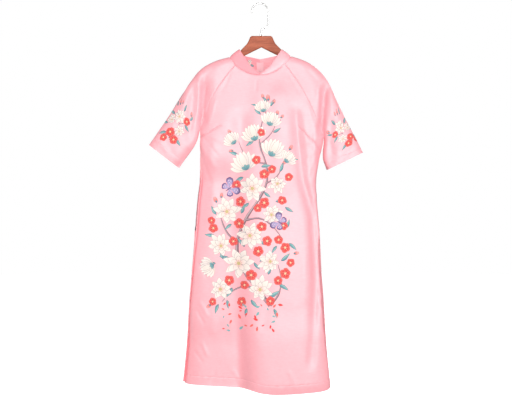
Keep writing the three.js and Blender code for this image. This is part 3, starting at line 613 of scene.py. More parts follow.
# Small wrinkles: from (x, z) to (x, z), half width and height, less than zero for a hollow.
wrinkle_table = {
    "front": [
        (-203, -862, -176, -900, 7, 1.3), (-206, -885, -180, -930, 6, -1.2),
        (-204, -1010, -176, -1060, 8, 1.4), (-214, -1040, -190, -1085, 6, -1.2),
        (-196, -1150, -178, -1195, 7, 1.3), (-222, -1180, -196, -1215, 6, -1),
        (-202, -470, -150, -560, 9, 1.6), (-204, -500, -168, -610, 7, -1.3),
        (-198, -436, -128, -470, 9, 1.5), (-199, -448, -140, -520, 6, -1.1), (206, -470, 150, -540, 9, 1.5),
        (204, -500, 166, -600, 7, -1.4), (213, -455, 140, -478, 9, 1.5), (196, -640, 168, -690, 7, 1.1),
        (196, -960, 214, -1010, 6, 1.3), (198, -985, 218, -1040, 5, -1.2), (201, -1020, 222, -1070, 6, 1.2),
        (204, -1060, 226, -1115, 6, -1.1), (206, -1100, 228, -1150, 6, 1.2),
        (-98, -232, -128, -300, 7, -1.0), (96, -236, 132, -306, 7, -1.0), (-150, -330, -176, -420, 6, 1.1),
        (160, -345, 188, -432, 6, 1.1), (-12, -262, -14, -300, 5, -0.9), (-90, -1240, -60, -1296, 8, 1.1),
        (96, -1236, 124, -1300, 9, 1.1), (-150, -1252, -168, -1292, 7, -0.9), (-6, -700, 10, -860, 16, 1.3),
        (-120, -620, -112, -800, 15, 1.4), (30, -930, 12, -1100, 15, -1.3),
        (152, -820, 148, -1010, 14, 1.4), (-150, -930, -158, -1120, 14, 1.3),
    ],
    "back": [
        (-200, -470, -140, -560, 9, 1.6), (204, -470, 146, -552, 9, 1.6), (-202, -505, -170, -610, 7, -1.3),
        (204, -515, 170, -620, 7, -1.3), (-60, -250, -110, -330, 9, 1.3), (60, -250, 112, -330, 9, 1.3),
        (-12, -620, -30, -690, 8, 1.5), (12, -622, 32, -700, 8, 1.5), (-60, -860, -52, -1080, 15, 1.4),
        (44, -760, 60, -980, 15, 1.4), (-160, -800, -172, -1020, 13, 1.3), (160, -840, 170, -1060, 13, 1.3),
        (-214, -1000, -190, -1050, 7, 1.2), (206, -1010, 190, -1060, 7, 1.2),
        (-20, -300, -24, -420, 8, -0.9),
    ],
}
wrinkle_fade = 26.0
# Slow waves in the cloth between the folds: wave lengths across and up, height and phase.
wave_table = [(74, 310, 0.2, 0.4), (118, 190, 0.22, 2.1), (47, 140, 0.08, 4.0), (230, 96, 0.1, 1.2)]


def seam_relief(spots, line, squeeze=1.0, pucker=pucker_depth):
    """A sewn edge: the cloth rolls down into the seam and draws up in small puckers beside it."""
    scale = np.array([squeeze, 1.0])
    distance, along = nearest(spots * scale, line * scale)
    drift = 1.7 * np.sin(along / 23.0) + 0.9 * np.sin(along / 7.9)
    rhythm = np.sin(2 * math.pi * along / pucker_pitch + drift)
    patches = 0.55 + 0.45 * np.sin(along / 31.0 + 1.3)
    drawn = pucker * rhythm * patches * np.exp(-distance / pucker_reach) * smooth_step(distance / 2.0)
    return drawn - seam_depth * np.exp(-((distance / seam_width) ** 1.4))


def hem_relief(spots, line, depth=hem_dimple):
    """The line of a blind hem: a faint groove with a dimple at every stitch, over a doubled edge."""
    distance, along = nearest(spots, line)
    dimples = 0.45 + 0.55 * np.cos(2 * math.pi * along / stitch_pitch) ** 2
    spread = 0.12 * np.sin(2 * math.pi * along / (2.6 * stitch_pitch) + 2 * np.sin(along / 67.0))
    return -depth * dimples * np.exp(-((distance / 1.6) ** 2)) + spread * np.exp(-((distance / 9.0) ** 2))


def dart_relief(x, z, dart):
    """A sewn dart: a line drawn in that fades out at its tip, with a soft rise beyond it."""
    tip_x, tip_z, end_x, end_z = dart
    length = math.hypot(end_x - tip_x, end_z - tip_z)
    along = ((x - tip_x) * (end_x - tip_x) + (z - tip_z) * (end_z - tip_z)) / length
    across = ((x - tip_x) * (end_z - tip_z) - (z - tip_z) * (end_x - tip_x)) / length
    run = smooth_step(along / 22.0) * smooth_step((length + 6.0 - along) / 4.0)
    pucker = 0.14 * np.sin(along / 2.1) * np.exp(-np.abs(across) / 6.0) * smooth_step(np.abs(across) / 2.0)
    crease = run * (pucker - 2.2 * np.exp(-((across / 2.1) ** 2)) - 0.9 * np.exp(-((across / 7.0) ** 2)))
    rise = 1.3 * np.exp(-((along + 12.0) ** 2 + across**2) / 900.0)
    return crease + rise


def wave_relief(x, z):
    """The slow waves of cloth that hangs loose."""
    return sum(height * np.sin(x * 2 * math.pi / across + phase + 0.8 * np.sin(z / 83.0))
               * np.sin(z * 2 * math.pi / up + 1.7 * phase) for across, up, height, phase in wave_table)


def sewn_relief(face, seams, hems, darts=()):
    """The whole relief of a panel, from its seams, hems, darts, wrinkles and waves."""
    def relief(u, v):
        spots = np.stack([u, v], axis=-1)
        x = body_x(np.sin(u / across_scale), v)
        height = wave_relief(x, v)
        for line, squeeze, pucker in seams:
            height = height + seam_relief(spots, line, squeeze, pucker)
        for line in hems:
            height = height + hem_relief(spots, line)
        for dart in darts:
            height = height + dart_relief(x, v, dart)
        for wrinkle in wrinkle_table[face]:
            height = height + line_fold(x, v, wrinkle, wrinkle_fade)
        return height

    return relief


# ---- printed motifs: flat shapes in millimetres, each with a paint that fades from one colour to another
def painted(at, toward, near_color, far_color):
    """A paint that fades along a line from one colour to the other."""
    at, toward = np.array(at, float), np.array(toward, float)
    run = toward - at
    near_color, far_color = np.array(near_color), np.array(far_color)

    def paint(spots):
        share = np.clip(((spots - at) @ run) / (run @ run), 0.0, 1.0)[..., None]
        return near_color + (far_color - near_color) * share

    return paint


def flat_paint(color):
    """A paint of one colour."""
    return painted((0, 0), (1, 0), color, color)


def turned(points, angle, at):
    """Points of a motif turned about its own origin and moved to where it is printed."""
    cos, sin = math.cos(angle), math.sin(angle)
    return np.asarray(points, float) @ np.array([[cos, sin], [-sin, cos]]) + np.asarray(at, float)


def counter(shape):
    """The same closed shape, counter-clockwise."""
    x, y = shape.T
    return shape if (x * np.roll(y, -1) - y * np.roll(x, -1)).sum() > 0 else shape[::-1]


def petal_shape(length, width, belly=1.5, grow=0.0, wave=0.0, steps=9, roundness=0.7):
    """A petal from the origin along x, widest towards its tip, with an edge that may wave a little."""
    t = np.linspace(0.0, 1.0, steps)
    swell = np.maximum(np.sin(math.pi * t**belly), 0.0) ** roundness
    half = width / 2 * swell * (1 + wave * np.sin(9.0 * t + length))
    x = -grow + t * (length + 2 * grow)
    y = half + grow * (half > 1e-6)
    upper = np.stack([x, y], axis=-1)
    lower = np.stack([x, -y], axis=-1)[1:-1][::-1]
    return np.concatenate([upper, lower])


def leaf_shape(length, width, bend=0.0, grow=0.0, steps=9):
    """A pointed leaf from the origin along x, that may bend to one side."""
    t = np.linspace(0.0, 1.0, steps)
    half = width / 2 * np.sin(math.pi * t**0.85) * (1 - 0.25 * t) + grow * np.sin(math.pi * t) ** 0.3
    x = -grow + t * (length + 2 * grow)
    middle = bend * length * t * t
    upper = np.stack([x, middle + half], axis=-1)
    lower = np.stack([x, middle - half], axis=-1)[1:-1][::-1]
    return np.concatenate([upper, lower])


def disc_shape(radius, steps):
    """A round dot about the origin."""
    angles = np.arange(steps) * 2 * math.pi / steps
    return np.stack([radius * np.cos(angles), radius * np.sin(angles)], axis=-1)


ivory_edge = (0.34, 0.24, 0.27)
ivory_tip = (0.97, 0.90, 0.83)
ivory_heart = (0.84, 0.74, 0.64)
ivory_shade = (0.72, 0.64, 0.60)
ivory_vein = (0.62, 0.52, 0.52)
red_edge = (0.36, 0.02, 0.03)
red_deep = (0.60, 0.02, 0.025)
red_tip = (0.96, 0.015, 0.012)
red_light = (0.98, 0.11, 0.08)
peach = (0.96, 0.55, 0.34)
teal_edge = (0.04, 0.13, 0.17)
teal_deep = (0.04, 0.24, 0.29)
teal_light = (0.16, 0.46, 0.47)
teal_lit = (0.34, 0.62, 0.58)
stem_dark = (0.20, 0.12, 0.15)
stem_light = (0.42, 0.30, 0.34)
stem_lit = (0.55, 0.42, 0.45)
wing_edge = (0.10, 0.07, 0.20)
wing_deep = (0.22, 0.17, 0.42)
wing_light = (0.58, 0.52, 0.78)
wing_spot = (0.95, 0.78, 0.84)
heart_blush = (0.93, 0.62, 0.55)
heart_gold = (0.62, 0.50, 0.20)
heart_dot = (0.80, 0.30, 0.18)
red_heart = (0.98, 0.72, 0.4)
line_width = 0.7
leaf_width = 0.36


def motif_leaf(x, z, length, angle, bend):
    """A teal leaf with a dark edge, a lit half and a midrib."""
    radians = math.radians(angle)
    tip = turned([(length, bend * length)], radians, (x, z))[0]
    shapes = [(leaf_shape(length, length * leaf_width, bend, line_width), flat_paint(teal_edge)),
              (leaf_shape(length, length * leaf_width, bend), painted((x, z), tip, teal_deep, teal_light))]
    t = np.linspace(0.04, 0.92, 7)
    half = length * leaf_width / 2 * np.sin(math.pi * t**0.85) * (1 - 0.25 * t)
    rib = np.stack([t * length, bend * length * t * t], axis=-1)
    lit = np.concatenate([rib, (rib + np.stack([0 * t, half * 0.8], axis=-1))[1:-1][::-1]])
    shapes.append((lit, painted((x, z), tip, teal_light, teal_lit)))
    vein = np.concatenate([rib + (0, 0.22), (rib - (0, 0.22))[::-1]])
    shapes.append((vein, flat_paint(teal_edge)))
    return [(counter(turned(shape, radians, (x, z))), paint) for shape, paint in shapes]


def motif_petal(at, length, width, angle, edge, near_color, far_color, veins=0, vein_color=None,
                wave=0.05, belly=1.5, roundness=0.7):
    """One petal with its outline, its fade from the heart to the tip, and fine veins."""
    radians = math.radians(angle)
    tip = turned([(length, 0)], radians, at)[0]
    outer = petal_shape(length, width, belly, line_width, wave, roundness=roundness)
    inner = petal_shape(length, width, belly, 0.0, wave, roundness=roundness)
    shapes = [(turned(outer, radians, at), flat_paint(edge)),
              (turned(inner, radians, at), painted(at, tip, near_color, far_color))]
    for number in range(veins):
        lean = (number - (veins - 1) / 2) * 0.5 / max(veins - 1, 1)
        reach = length * (0.74 - 0.3 * abs(lean))
        vein = np.array([(0.12 * length, 0.0), (0.5 * reach, lean * width * 0.55 - 0.25),
                         (reach, lean * width * 0.95), (0.5 * reach, lean * width * 0.55 + 0.25)])
        shapes.append((turned(vein, radians, at), painted(at, tip, vein_color, far_color)))
    return [(counter(shape), paint) for shape, paint in shapes]


def motif_ivory(x, z, size, turn, cup):
    """A full ivory lotus: rings of pointed petals round a golden heart. A cup above 0 tips it aside."""
    shapes = []
    rings = [(7, 0.52, 0.21, 0.0), (6, 0.42, 0.20, 27.0), (5, 0.26, 0.15, 8.0)]
    for ring, (count, reach, width, offset) in enumerate(rings):
        for number in range(count):
            angle = turn + offset + 360.0 * number / count + 6.0 * math.sin(3.1 * number + x)
            lean = 1.0 - cup * (0.5 - 0.5 * math.cos(math.radians(angle - turn)))
            length = size * reach * lean * (1 + 0.07 * math.sin(5 * number + z))
            near_color = (ivory_shade, ivory_heart, heart_blush)[ring]
            across = size * width * (0.8 + 0.2 * lean)
            veins = 3 if ring < 2 else 1
            shapes += motif_petal((x, z), length, across, angle, ivory_edge, near_color, ivory_tip, veins,
                                  ivory_vein, 0.05, 1.25, 0.86)
    heart = [(disc_shape(size * 0.06, 10), flat_paint(heart_gold))]
    for number in range(9):
        angle = math.radians(turn + 40 * number)
        dot = disc_shape(size * 0.016, 5) + size * 0.09 * np.array([math.cos(angle), math.sin(angle)])
        heart.append((dot, flat_paint(heart_dot)))
    shapes += [(counter(shape + (x, z)), paint) for shape, paint in heart]
    return shapes


def motif_lotus(x, z, size, turn, spread):
    """A lotus seen from the side: petals that fan out from a green cup, the outer ones first."""
    shapes = []
    leans = (1.0, -1.0, 0.72, -0.72, 0.42, -0.42, 0.18, -0.18, 0.0)
    for number, lean in enumerate(leans):
        length = size * (0.78 + 0.22 * math.cos(math.radians(spread * lean)))
        near_color = ivory_shade if number % 2 else ivory_heart
        angle = turn + spread * lean
        shapes += motif_petal((x, z), length, size * 0.33, angle, ivory_edge, near_color, ivory_tip, 3,
                              ivory_vein, 0.03, 1.2, 0.86)
    for lean in (-40.0, 40.0, 0.0):
        angle = turn + lean
        shapes += motif_petal((x, z), size * 0.3, size * 0.13, angle, teal_edge, teal_deep, teal_light)
    return shapes


def motif_red(x, z, size, turn):
    """A red blossom: five broad petals with a lit edge, a peach heart and fine dark threads."""
    shapes = []
    for number in range(5):
        angle = turn + 72.0 * number + 4.0 * math.sin(2.3 * number + z)
        length = size * 0.5 * (1 + 0.05 * math.sin(4 * number + x))
        shapes += motif_petal((x, z), length, size * 0.46, angle, red_edge, red_deep, red_light, 1,
                              red_edge, 0.04)
        shapes += motif_petal((x, z), length * 0.74, size * 0.3, angle + 5, red_tip, red_deep, red_tip)[1:]
    for number in range(6):
        radians = math.radians(turn + 60.0 * number + 20.0)
        thread = np.array([(0.05, -0.012), (0.26, -0.006), (0.29, 0.012), (0.26, 0.012), (0.05, 0.012)])
        shapes.append((counter(turned(thread * size, radians, (x, z))), flat_paint(peach)))
    heart = disc_shape(size * 0.1, 9) + (x, z)
    shapes.append((heart, painted((x, z), (x + size * 0.1, z), red_heart, peach)))
    return shapes


def motif_bud(x, z, length, angle):
    """A closed red bud on a teal cup."""
    radians = math.radians(angle)
    tip = turned([(length, 0)], radians, (x, z))[0]
    pale = tuple(0.5 * (red + ivory) for red, ivory in zip(red_tip, ivory_tip))
    shapes = [(petal_shape(length, length * 0.52, 1.0, line_width), flat_paint(red_edge)),
              (petal_shape(length, length * 0.52, 1.0), painted((x, z), tip, red_tip, pale)),
              (leaf_shape(length * 0.5, length * 0.34), painted((x, z), tip, teal_deep, teal_light))]
    return [(counter(turned(shape, radians, (x, z))), paint) for shape, paint in shapes]


def motif_stem(points, start_width, end_width, steps=14):
    """A tapered stem along a curve, with a dark underside."""
    spots = spline(points, np.linspace(0.0, 1.0, steps))
    tangent = np.gradient(spots, axis=0)
    tangent /= np.hypot(*tangent.T)[:, None]
    square = np.stack([-tangent[:, 1], tangent[:, 0]], axis=-1)
    half = np.linspace(start_width, end_width, steps)[:, None] / 2
    half = half * (1 + 0.12 * np.sin(np.arange(steps) * 1.9))[:, None]
    whole = np.concatenate([spots + square * half, (spots - square * half)[::-1]])
    lit = np.concatenate([spots + square * half * 0.75, (spots - square * half * 0.05)[::-1]])
    return [(counter(whole), flat_paint(stem_dark)),
            (counter(lit), painted(points[0], points[-1], stem_light, stem_lit))]


def motif_butterfly(x, z, size, turn):
    """A lavender butterfly, its head along its turn: edged wings with spots, a body and two feelers."""
    shapes = []
    radians = math.radians(turn)
    for length, width, angle in ((0.44, 0.34, 118.0), (0.62, 0.38, 52.0)):
        for side in (1, -1):
            lean = radians + side * math.radians(angle)
            tip = turned([(length * size, 0)], lean, (x, z))[0]
            edge = turned(petal_shape(length * size, width * size, 2.0, 0.6), lean, (x, z))
            inner = turned(petal_shape(length * size * 0.86, width * size * 0.76, 1.9), lean, (x, z))
            shapes.append((counter(edge), painted((x, z), tip, wing_deep, wing_edge)))
            shapes.append((counter(inner), painted((x, z), tip, wing_light, wing_deep)))
            for share, aside in ((0.7, 0.05), (0.66, -0.06), (0.5, 0.0)):
                spot = disc_shape(size * 0.028, 7) + (length * size * share, aside * size)
                shapes.append((counter(turned(spot, lean, (x, z))), flat_paint(wing_spot)))
            ray = np.array([(0.06, -0.008), (0.8 * length, 0.0), (0.06, 0.008)]) * size
            shapes.append((counter(turned(ray, lean, (x, z))), flat_paint(wing_edge)))
    body = leaf_shape(size * 0.5, size * 0.08, 0, 0, 7) - (size * 0.26, 0)
    shapes.append((counter(turned(body, radians, (x, z))), flat_paint(wing_edge)))
    for side in (1, -1):
        feeler = np.array([(0.2, 0.0), (0.34, 0.10 * side), (0.42, 0.17 * side), (0.33, 0.12 * side)]) * size
        shapes.append((counter(turned(feeler, radians, (x, z))), flat_paint(wing_edge)))
    return shapes


# ---- the satin: a close plain weave with short slubs, the same group for every piece
def new_group(name, inputs, outputs):
    """A shader node group with named number sockets, and vectors where the value is a tuple."""
    group = bpy.data.node_groups.new(name, "ShaderNodeTree")
    for socket, value in inputs.items():
        kind = "NodeSocketVector" if isinstance(value, tuple) else "NodeSocketFloat"
        made = group.interface.new_socket(name=socket, in_out="INPUT", socket_type=kind)
        made.default_value = value
    for socket in outputs:
        group.interface.new_socket(name=socket, in_out="OUTPUT", socket_type="NodeSocketFloat")
    return group, group.nodes.new("NodeGroupInput"), group.nodes.new("NodeGroupOutput")


def maths(tree, operation, first, second=None, third=None):
    """The output of a new math node, from numbers or other nodes' outputs."""
    node = tree.nodes.new("ShaderNodeMath")
    node.operation = operation
    for socket, value in zip(node.inputs, (first, second, third)):
        if isinstance(value, (int, float)):
            socket.default_value = value
        elif value is not None:
            tree.links.new(value, socket)
    return node.outputs[0]


def noise(tree, vector, scale, stretch=(1.0, 1.0, 1.0), detail=2.0, roughness=0.5):
    """The output of a new noise texture, finer along an axis where its stretch is greater."""
    mapping = tree.nodes.new("ShaderNodeMapping")
    mapping.inputs["Scale"].default_value = stretch
    tree.links.new(vector, mapping.inputs["Vector"])
    node = tree.nodes.new("ShaderNodeTexNoise")
    node.inputs["Scale"].default_value = scale
    node.inputs["Detail"].default_value = detail
    node.inputs["Roughness"].default_value = roughness
    tree.links.new(mapping.outputs["Vector"], node.inputs["Vector"])
    return node.outputs["Fac"]


thread_pitch = 0.00042
weave_inputs = {"Vector": (0.0, 0.0, 0.0), "Pitch": thread_pitch}
weave, weave_in, weave_out = new_group("plain_weave", weave_inputs, ["Height", "Tone"])
parted = weave.nodes.new("ShaderNodeSeparateXYZ")
weave.links.new(weave_in.outputs["Vector"], parted.inputs["Vector"])
warp_count = maths(weave, "DIVIDE", parted.outputs["X"], weave_in.outputs["Pitch"])
weft_count = maths(weave, "DIVIDE", parted.outputs["Z"], weave_in.outputs["Pitch"])
warp_turns = maths(weave, "MULTIPLY", warp_count, math.pi)
weft_turns = maths(weave, "MULTIPLY", weft_count, math.pi)
crossing = maths(weave, "MULTIPLY", maths(weave, "SINE", warp_turns), maths(weave, "SINE", weft_turns))
slubs = noise(weave, weave_in.outputs["Vector"], 150.0, (0.35, 1.0, 7.0), 2.0)
mottle = noise(weave, weave_in.outputs["Vector"], 80.0, (1.0, 1.0, 1.3), 4.0, 0.65)
weave_height = maths(weave, "ADD", maths(weave, "MULTIPLY", crossing, 0.25), slubs)
weave_tone = maths(weave, "ADD", maths(weave, "MULTIPLY", slubs, 0.6), maths(weave, "MULTIPLY", mottle, 0.4))
weave.links.new(weave_height, weave_out.inputs["Height"])
weave.links.new(weave_tone, weave_out.inputs["Tone"])

satin_index = 1.7
inside_matt = 0.36
ink_matt = 0.34
ink_cover = 0.96


def satin_material(name, light_pink, deep_pink, roughness):
    """Pink satin: the weave's tone between two pinks, printed ink over it, and a sheen on its outer face."""
    satin = bpy.data.materials.new(name)
    satin.use_nodes = True
    tree = satin.node_tree
    shader = tree.nodes["Principled BSDF"]
    shader.inputs["IOR"].default_value = satin_index
    shader.inputs["Specular IOR Level"].default_value = 1.0
    where = tree.nodes.new("ShaderNodeTexCoord")
    cloth = tree.nodes.new("ShaderNodeGroup")
    cloth.node_tree = weave
    tree.links.new(where.outputs["Object"], cloth.inputs["Vector"])
    tone = tree.nodes.new("ShaderNodeMix")
    tone.data_type = "RGBA"
    tone.inputs["A"].default_value = (*deep_pink, 1.0)
    tone.inputs["B"].default_value = (*light_pink, 1.0)
    tree.links.new(maths(tree, "MULTIPLY_ADD", cloth.outputs["Tone"], 3.0, -1.0), tone.inputs["Factor"])
    inside = tree.nodes.new("ShaderNodeAttribute")
    inside.attribute_name = "inside"
    matt = maths(tree, "MULTIPLY_ADD", inside.outputs["Fac"], inside_matt, roughness)
    ink = tree.nodes.new("ShaderNodeAttribute")
    ink.attribute_name = "print"
    inked = tree.nodes.new("ShaderNodeMix")
    inked.data_type = "RGBA"
    tree.links.new(maths(tree, "MULTIPLY", ink.outputs["Alpha"], ink_cover), inked.inputs["Factor"])
    tree.links.new(tone.outputs["Result"], inked.inputs["A"])
    tree.links.new(ink.outputs["Color"], inked.inputs["B"])
    matt = maths(tree, "MULTIPLY_ADD", ink.outputs["Alpha"], ink_matt, matt)
    tree.links.new(matt, shader.inputs["Roughness"])
    tree.links.new(inked.outputs["Result"], shader.inputs["Base Color"])
    bump = tree.nodes.new("ShaderNodeBump")
    bump.inputs["Strength"].default_value = 0.35
    bump.inputs["Distance"].default_value = 0.00012
    tree.links.new(cloth.outputs["Height"], bump.inputs["Height"])
    tree.links.new(bump.outputs["Normal"], shader.inputs["Normal"])
    return satin


satin_outside = satin_material("printed_satin", (0.955, 0.425, 0.475), (0.915, 0.355, 0.405), 0.57)
# The left half of the collar gets a deeper pink, painted shade for the half that turns from the light, and a
# matter finish.
satin_painted_shade = satin_material("satin_deepened_for_painted_shade", (0.93, 0.325, 0.375), (0.91, 0.29, 0.34), 0.8)


def sewn_in(piece, satin=satin_outside):
    """A finished piece of cloth joins the garment and hangs from the hanger."""
    piece.data.materials.append(satin)
    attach(piece, "garment")
    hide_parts(piece.name.removesuffix("_cloth"))


# ---- the print of the front: one vine that climbs in a long curve from above the hem to the breast
# Main stems: the points of each curve, then its width at the start and at the end.
vine_table = [
    ([(34, -1020), (-12, -960), (-62, -890), (-78, -812), (-50, -735), (-6, -668)], 13.0, 9.0),
    ([(-6, -668), (22, -610), (20, -545), (-2, -480), (4, -415), (26, -352)], 9.0, 3.2),
    ([(-78, -812), (-112, -776), (-132, -730), (-140, -690)], 8.0, 3.4),
    ([(-50, -735), (-2, -728), (40, -752), (72, -792)], 8.0, 3.2),
    ([(22, -610), (54, -590), (74, -556), (82, -520)], 6.0, 2.6),
    ([(20, -545), (-24, -536), (-56, -506), (-72, -470)], 6.0, 2.6),
    ([(-12, -960), (-58, -958), (-98, -978), (-128, -1010)], 8.0, 3.0),
    ([(34, -1020), (62, -980), (70, -930), (60, -884)], 8.0, 3.2),
    ([(-2, -480), (30, -452), (48, -424), (52, -396)], 5.0, 2.2),
]
# Ivory blooms: x, z, size, turn, and how far the bloom is seen from the side.
ivory_table = [
    (-72, -880, 108, 10, 0.1), (-134, -968, 88, 40, 0.3), (0, -966, 92, 80, 0.25),
    (-132, -822, 90, 130, 0.25), (34, -872, 84, 200, 0.3), (-34, -786, 96, 330, 0.1),
    (-112, -706, 100, 60, 0.2), (38, -716, 78, 15, 0.3), (-26, -628, 98, 95, 0.15),
    (58, -612, 70, 250, 0.35),
]
# Ivory lotus flowers from the side: x, z, size, turn and spread.
lotus_table = [
    (-44, -566, 66, 112, 64), (34, -520, 62, 62, 60), (-16, -468, 58, 104, 58), (30, -418, 50, 72, 54),
    (-84, -478, 44, 128, 52), (84, -540, 42, 48, 52), (12, -372, 42, 100, 46), (-156, -886, 50, 200, 56),
]
# Red blossoms: x, z, size and turn.
red_table = [
    (-30, -918, 38, 10), (-104, -938, 34, 50), (-52, -952, 30, 70), (84, -912, 36, 80), (60, -936, 30, 15),
    (-90, -806, 32, 33), (-6, -838, 36, 62), (24, -804, 34, 5), (84, -826, 34, 44), (62, -800, 30, 15),
    (-70, -746, 36, 25), (-158, -762, 32, 50), (-164, -736, 26, 12), (6, -756, 34, 30), (78, -752, 30, 70),
    (-66, -672, 34, 5), (14, -676, 36, 55), (-8, -694, 28, 24), (74, -668, 30, 48), (-80, -616, 32, 66),
    (14, -580, 34, 12), (40, -564, 28, 20), (-12, -532, 30, 40), (96, -590, 28, 8), (4, -440, 26, 33),
    (-62, -1008, 32, 60), (34, -1004, 32, 18), (-160, -1010, 26, 35), (102, -876, 28, 50),
]
# Leaves: x, z, length, angle and bend.
leaf_table = [
    (-100, -870, 40, 150, 0.2), (-94, -962, 38, 250, -0.2), (-30, -1000, 36, 300, 0.2),
    (30, -990, 40, 20, 0.2), (64, -950, 36, -20, -0.2), (70, -870, 38, 30, 0.2), (96, -812, 34, -30, -0.2),
    (56, -820, 30, 230, 0.1), (-52, -824, 36, 120, 0.2), (-150, -880, 34, 190, -0.2),
    (-152, -790, 36, 160, 0.2), (-148, -716, 34, 130, -0.2), (-64, -712, 34, 60, 0.2),
    (-14, -700, 36, 40, -0.2), (52, -672, 36, 10, 0.2), (84, -690, 32, -40, 0.15),
    (-66, -640, 34, 170, -0.2), (-56, -590, 36, 200, 0.2), (4, -556, 32, 20, -0.2), (66, -572, 34, 60, 0.2),
    (100, -536, 30, 20, -0.15), (-74, -516, 34, 150, 0.2), (-92, -478, 28, 110, -0.2),
    (-22, -470, 30, 200, 0.2), (44, -440, 30, 20, 0.2), (58, -410, 26, 70, -0.2), (2, -380, 28, 130, 0.2),
    (36, -352, 28, 70, -0.15), (22, -340, 24, 110, 0.2), (-140, -1018, 34, 240, 0.2),
    (-112, -1004, 30, 290, -0.2), (-44, -1030, 28, 250, 0.2), (46, -1030, 32, -60, -0.2),
    (-96, -748, 30, 210, 0.2), (26, -916, 30, 60, 0.2), (-40, -936, 30, 100, -0.2),
    (-20, -876, 30, 300, 0.2), (0, -806, 30, -30, 0.2), (-126, -866, 30, 100, 0.15),
    (14, -640, 28, -50, 0.2), (-38, -676, 28, 230, -0.2), (88, -760, 30, 60, 0.2),
    (-8, -350, 22, 160, 0.15), (20, -860, 26, 200, 0.2),
]
# Buds: x, z, length and angle.
bud_table = [
    (-146, -676, 22, 115), (-132, -660, 18, 80), (98, -500, 20, 60), (-98, -446, 18, 120),
    (56, -384, 18, 80), (28, -334, 22, 95), (12, -326, 17, 110), (44, -344, 16, 70), (70, -392, 14, 50),
    (112, -846, 18, 10), (-166, -1020, 18, 215), (74, -546, 16, 30), (-90, -500, 15, 190),
]
# Butterflies: x, z, size and turn.
butterfly_table = [(-104, -628, 64, 35), (66, -742, 58, 150)]
# Petals and leaves that have fallen below the vine, spread evenly but in no row.
fallen_petals = {"count": 34, "x": (-128, 78), "z": (-1130, -1010), "length": (10, 19)}


def front_print():
    """The whole print of the front in the order it is laid down, from the stems up to the butterflies."""
    shapes = []
    for points, start, end in vine_table:
        shapes += motif_stem(points, start, end)
    for x, z, length, angle, bend in leaf_table:
        shapes += motif_leaf(x, z, length, angle, bend)
    for x, z, length, angle in bud_table:
        shapes += motif_bud(x, z, length, angle)
    blooms = [(z, motif_ivory, (x, z, size, turn, cup)) for x, z, size, turn, cup in ivory_table]
    blooms += [(row[1], motif_lotus, row) for row in lotus_table]
    for _, bloom, values in sorted(blooms, key=lambda row: -row[0]):
        shapes += bloom(*values)
    for x, z, size, turn in red_table:
        shapes += motif_red(x, z, size, turn)
    for x, z, size, turn in butterfly_table:
        shapes += motif_butterfly(x, z, size, turn)
    for number in range(fallen_petals["count"]):
        share = (number * 0.754878) % 1.0
        depth = (number * 0.569840 + 0.13) % 1.0
        growth = (number * 0.27) % 1.0
        low, high = fallen_petals["x"]
        bottom, top = fallen_petals["z"]
        shortest, longest = fallen_petals["length"]
        at = (low + (high - low) * share, bottom + (top - bottom) * depth**0.7)
        size = shortest + (longest - shortest) * growth
        color = (red_tip, teal_light, red_light)[number % 3]
        shapes.append((counter(turned(leaf_shape(size, size * 0.5), number * 1.9, at)), flat_paint(color)))
    return shapes


fine = np.linspace(0.0, 1.0, 56)
side_shares = np.linspace(0.0, 1.0, 190)
# Rows of extra spots beside seams, side edges, hem lines and darts, in millimetres from the line.
seam_rows = (0.9, 2.0, 3.6, 6.0)
side_rows = (4.0, 9.0)
hem_rows = (0.01, 1.6, 3.2)
dart_rows = (0.01, 1.3, 2.6, 5.0)
front_pitch = 6.4
back_pitch = 6.8
inner_pitch = 13.0
front_neck = panel_spots(neck_line("front", np.linspace(-1.0, 1.0, 44)))
front_raglans = {side: panel_spots(raglan_line(side, "front", fine)) for side in ("left", "right")}
front_sides = {side: panel_spots(side_line("front", side, side_shares)) for side in ("left", "right")}
front_hem = panel_spots(hem_line("front", np.linspace(-1.0, 1.0, 124)))
front_hem_seam = panel_spots(hem_line("front", np.linspace(-1.0, 1.0, 60), hem_rise))
front_outline = joined_edges(front_neck, front_raglans["right"], front_sides["right"], front_hem[::-1],
                             front_sides["left"][::-1], front_raglans["left"][::-1])
# Each seam has its line, how much nearer its spots count across than along, and the depth of its puckers.
front_seams = [(front_neck[::4], 1.0, 0.2)]
front_seams += [(line[::3], 1.0, pucker_depth) for line in front_raglans.values()]
front_seams += [(line[::8], side_squeeze, 0.3) for line in front_sides.values()]
front_darts = list(dart_table.values())
dart_spots = [panel_spots(np.linspace(dart[:2], dart[2:], 24)) for dart in front_darts]
front_rows = [beside(line, seam_rows) for line in (front_neck, *front_raglans.values())]
front_rows += [beside(line, side_rows) for line in front_sides.values()]
front_rows += [beside(panel_spots(hem_line("front", np.linspace(-1.0, 1.0, 160), hem_rise)), hem_rows)]
front_rows += [beside(line, dart_rows) for line in dart_spots]
front_lattice = lattice(front_outline, front_pitch, front_pitch, 3.0)
front_spots = gathered_spots(front_outline, front_lattice, front_rows)
front_inner = lattice(front_outline, inner_pitch, inner_pitch, 5.0)
front_shapes = [(counter(panel_spots(shape)), paint) for shape, paint in front_print()]
front_relief = sewn_relief("front", front_seams, [front_hem_seam], front_darts)
front_cloth = cloth_piece("front_cloth", front_outline, panel_place("front"), front_relief, front_spots,
                          front_inner, front_shapes, plane=panel_line)
sewn_in(front_cloth)


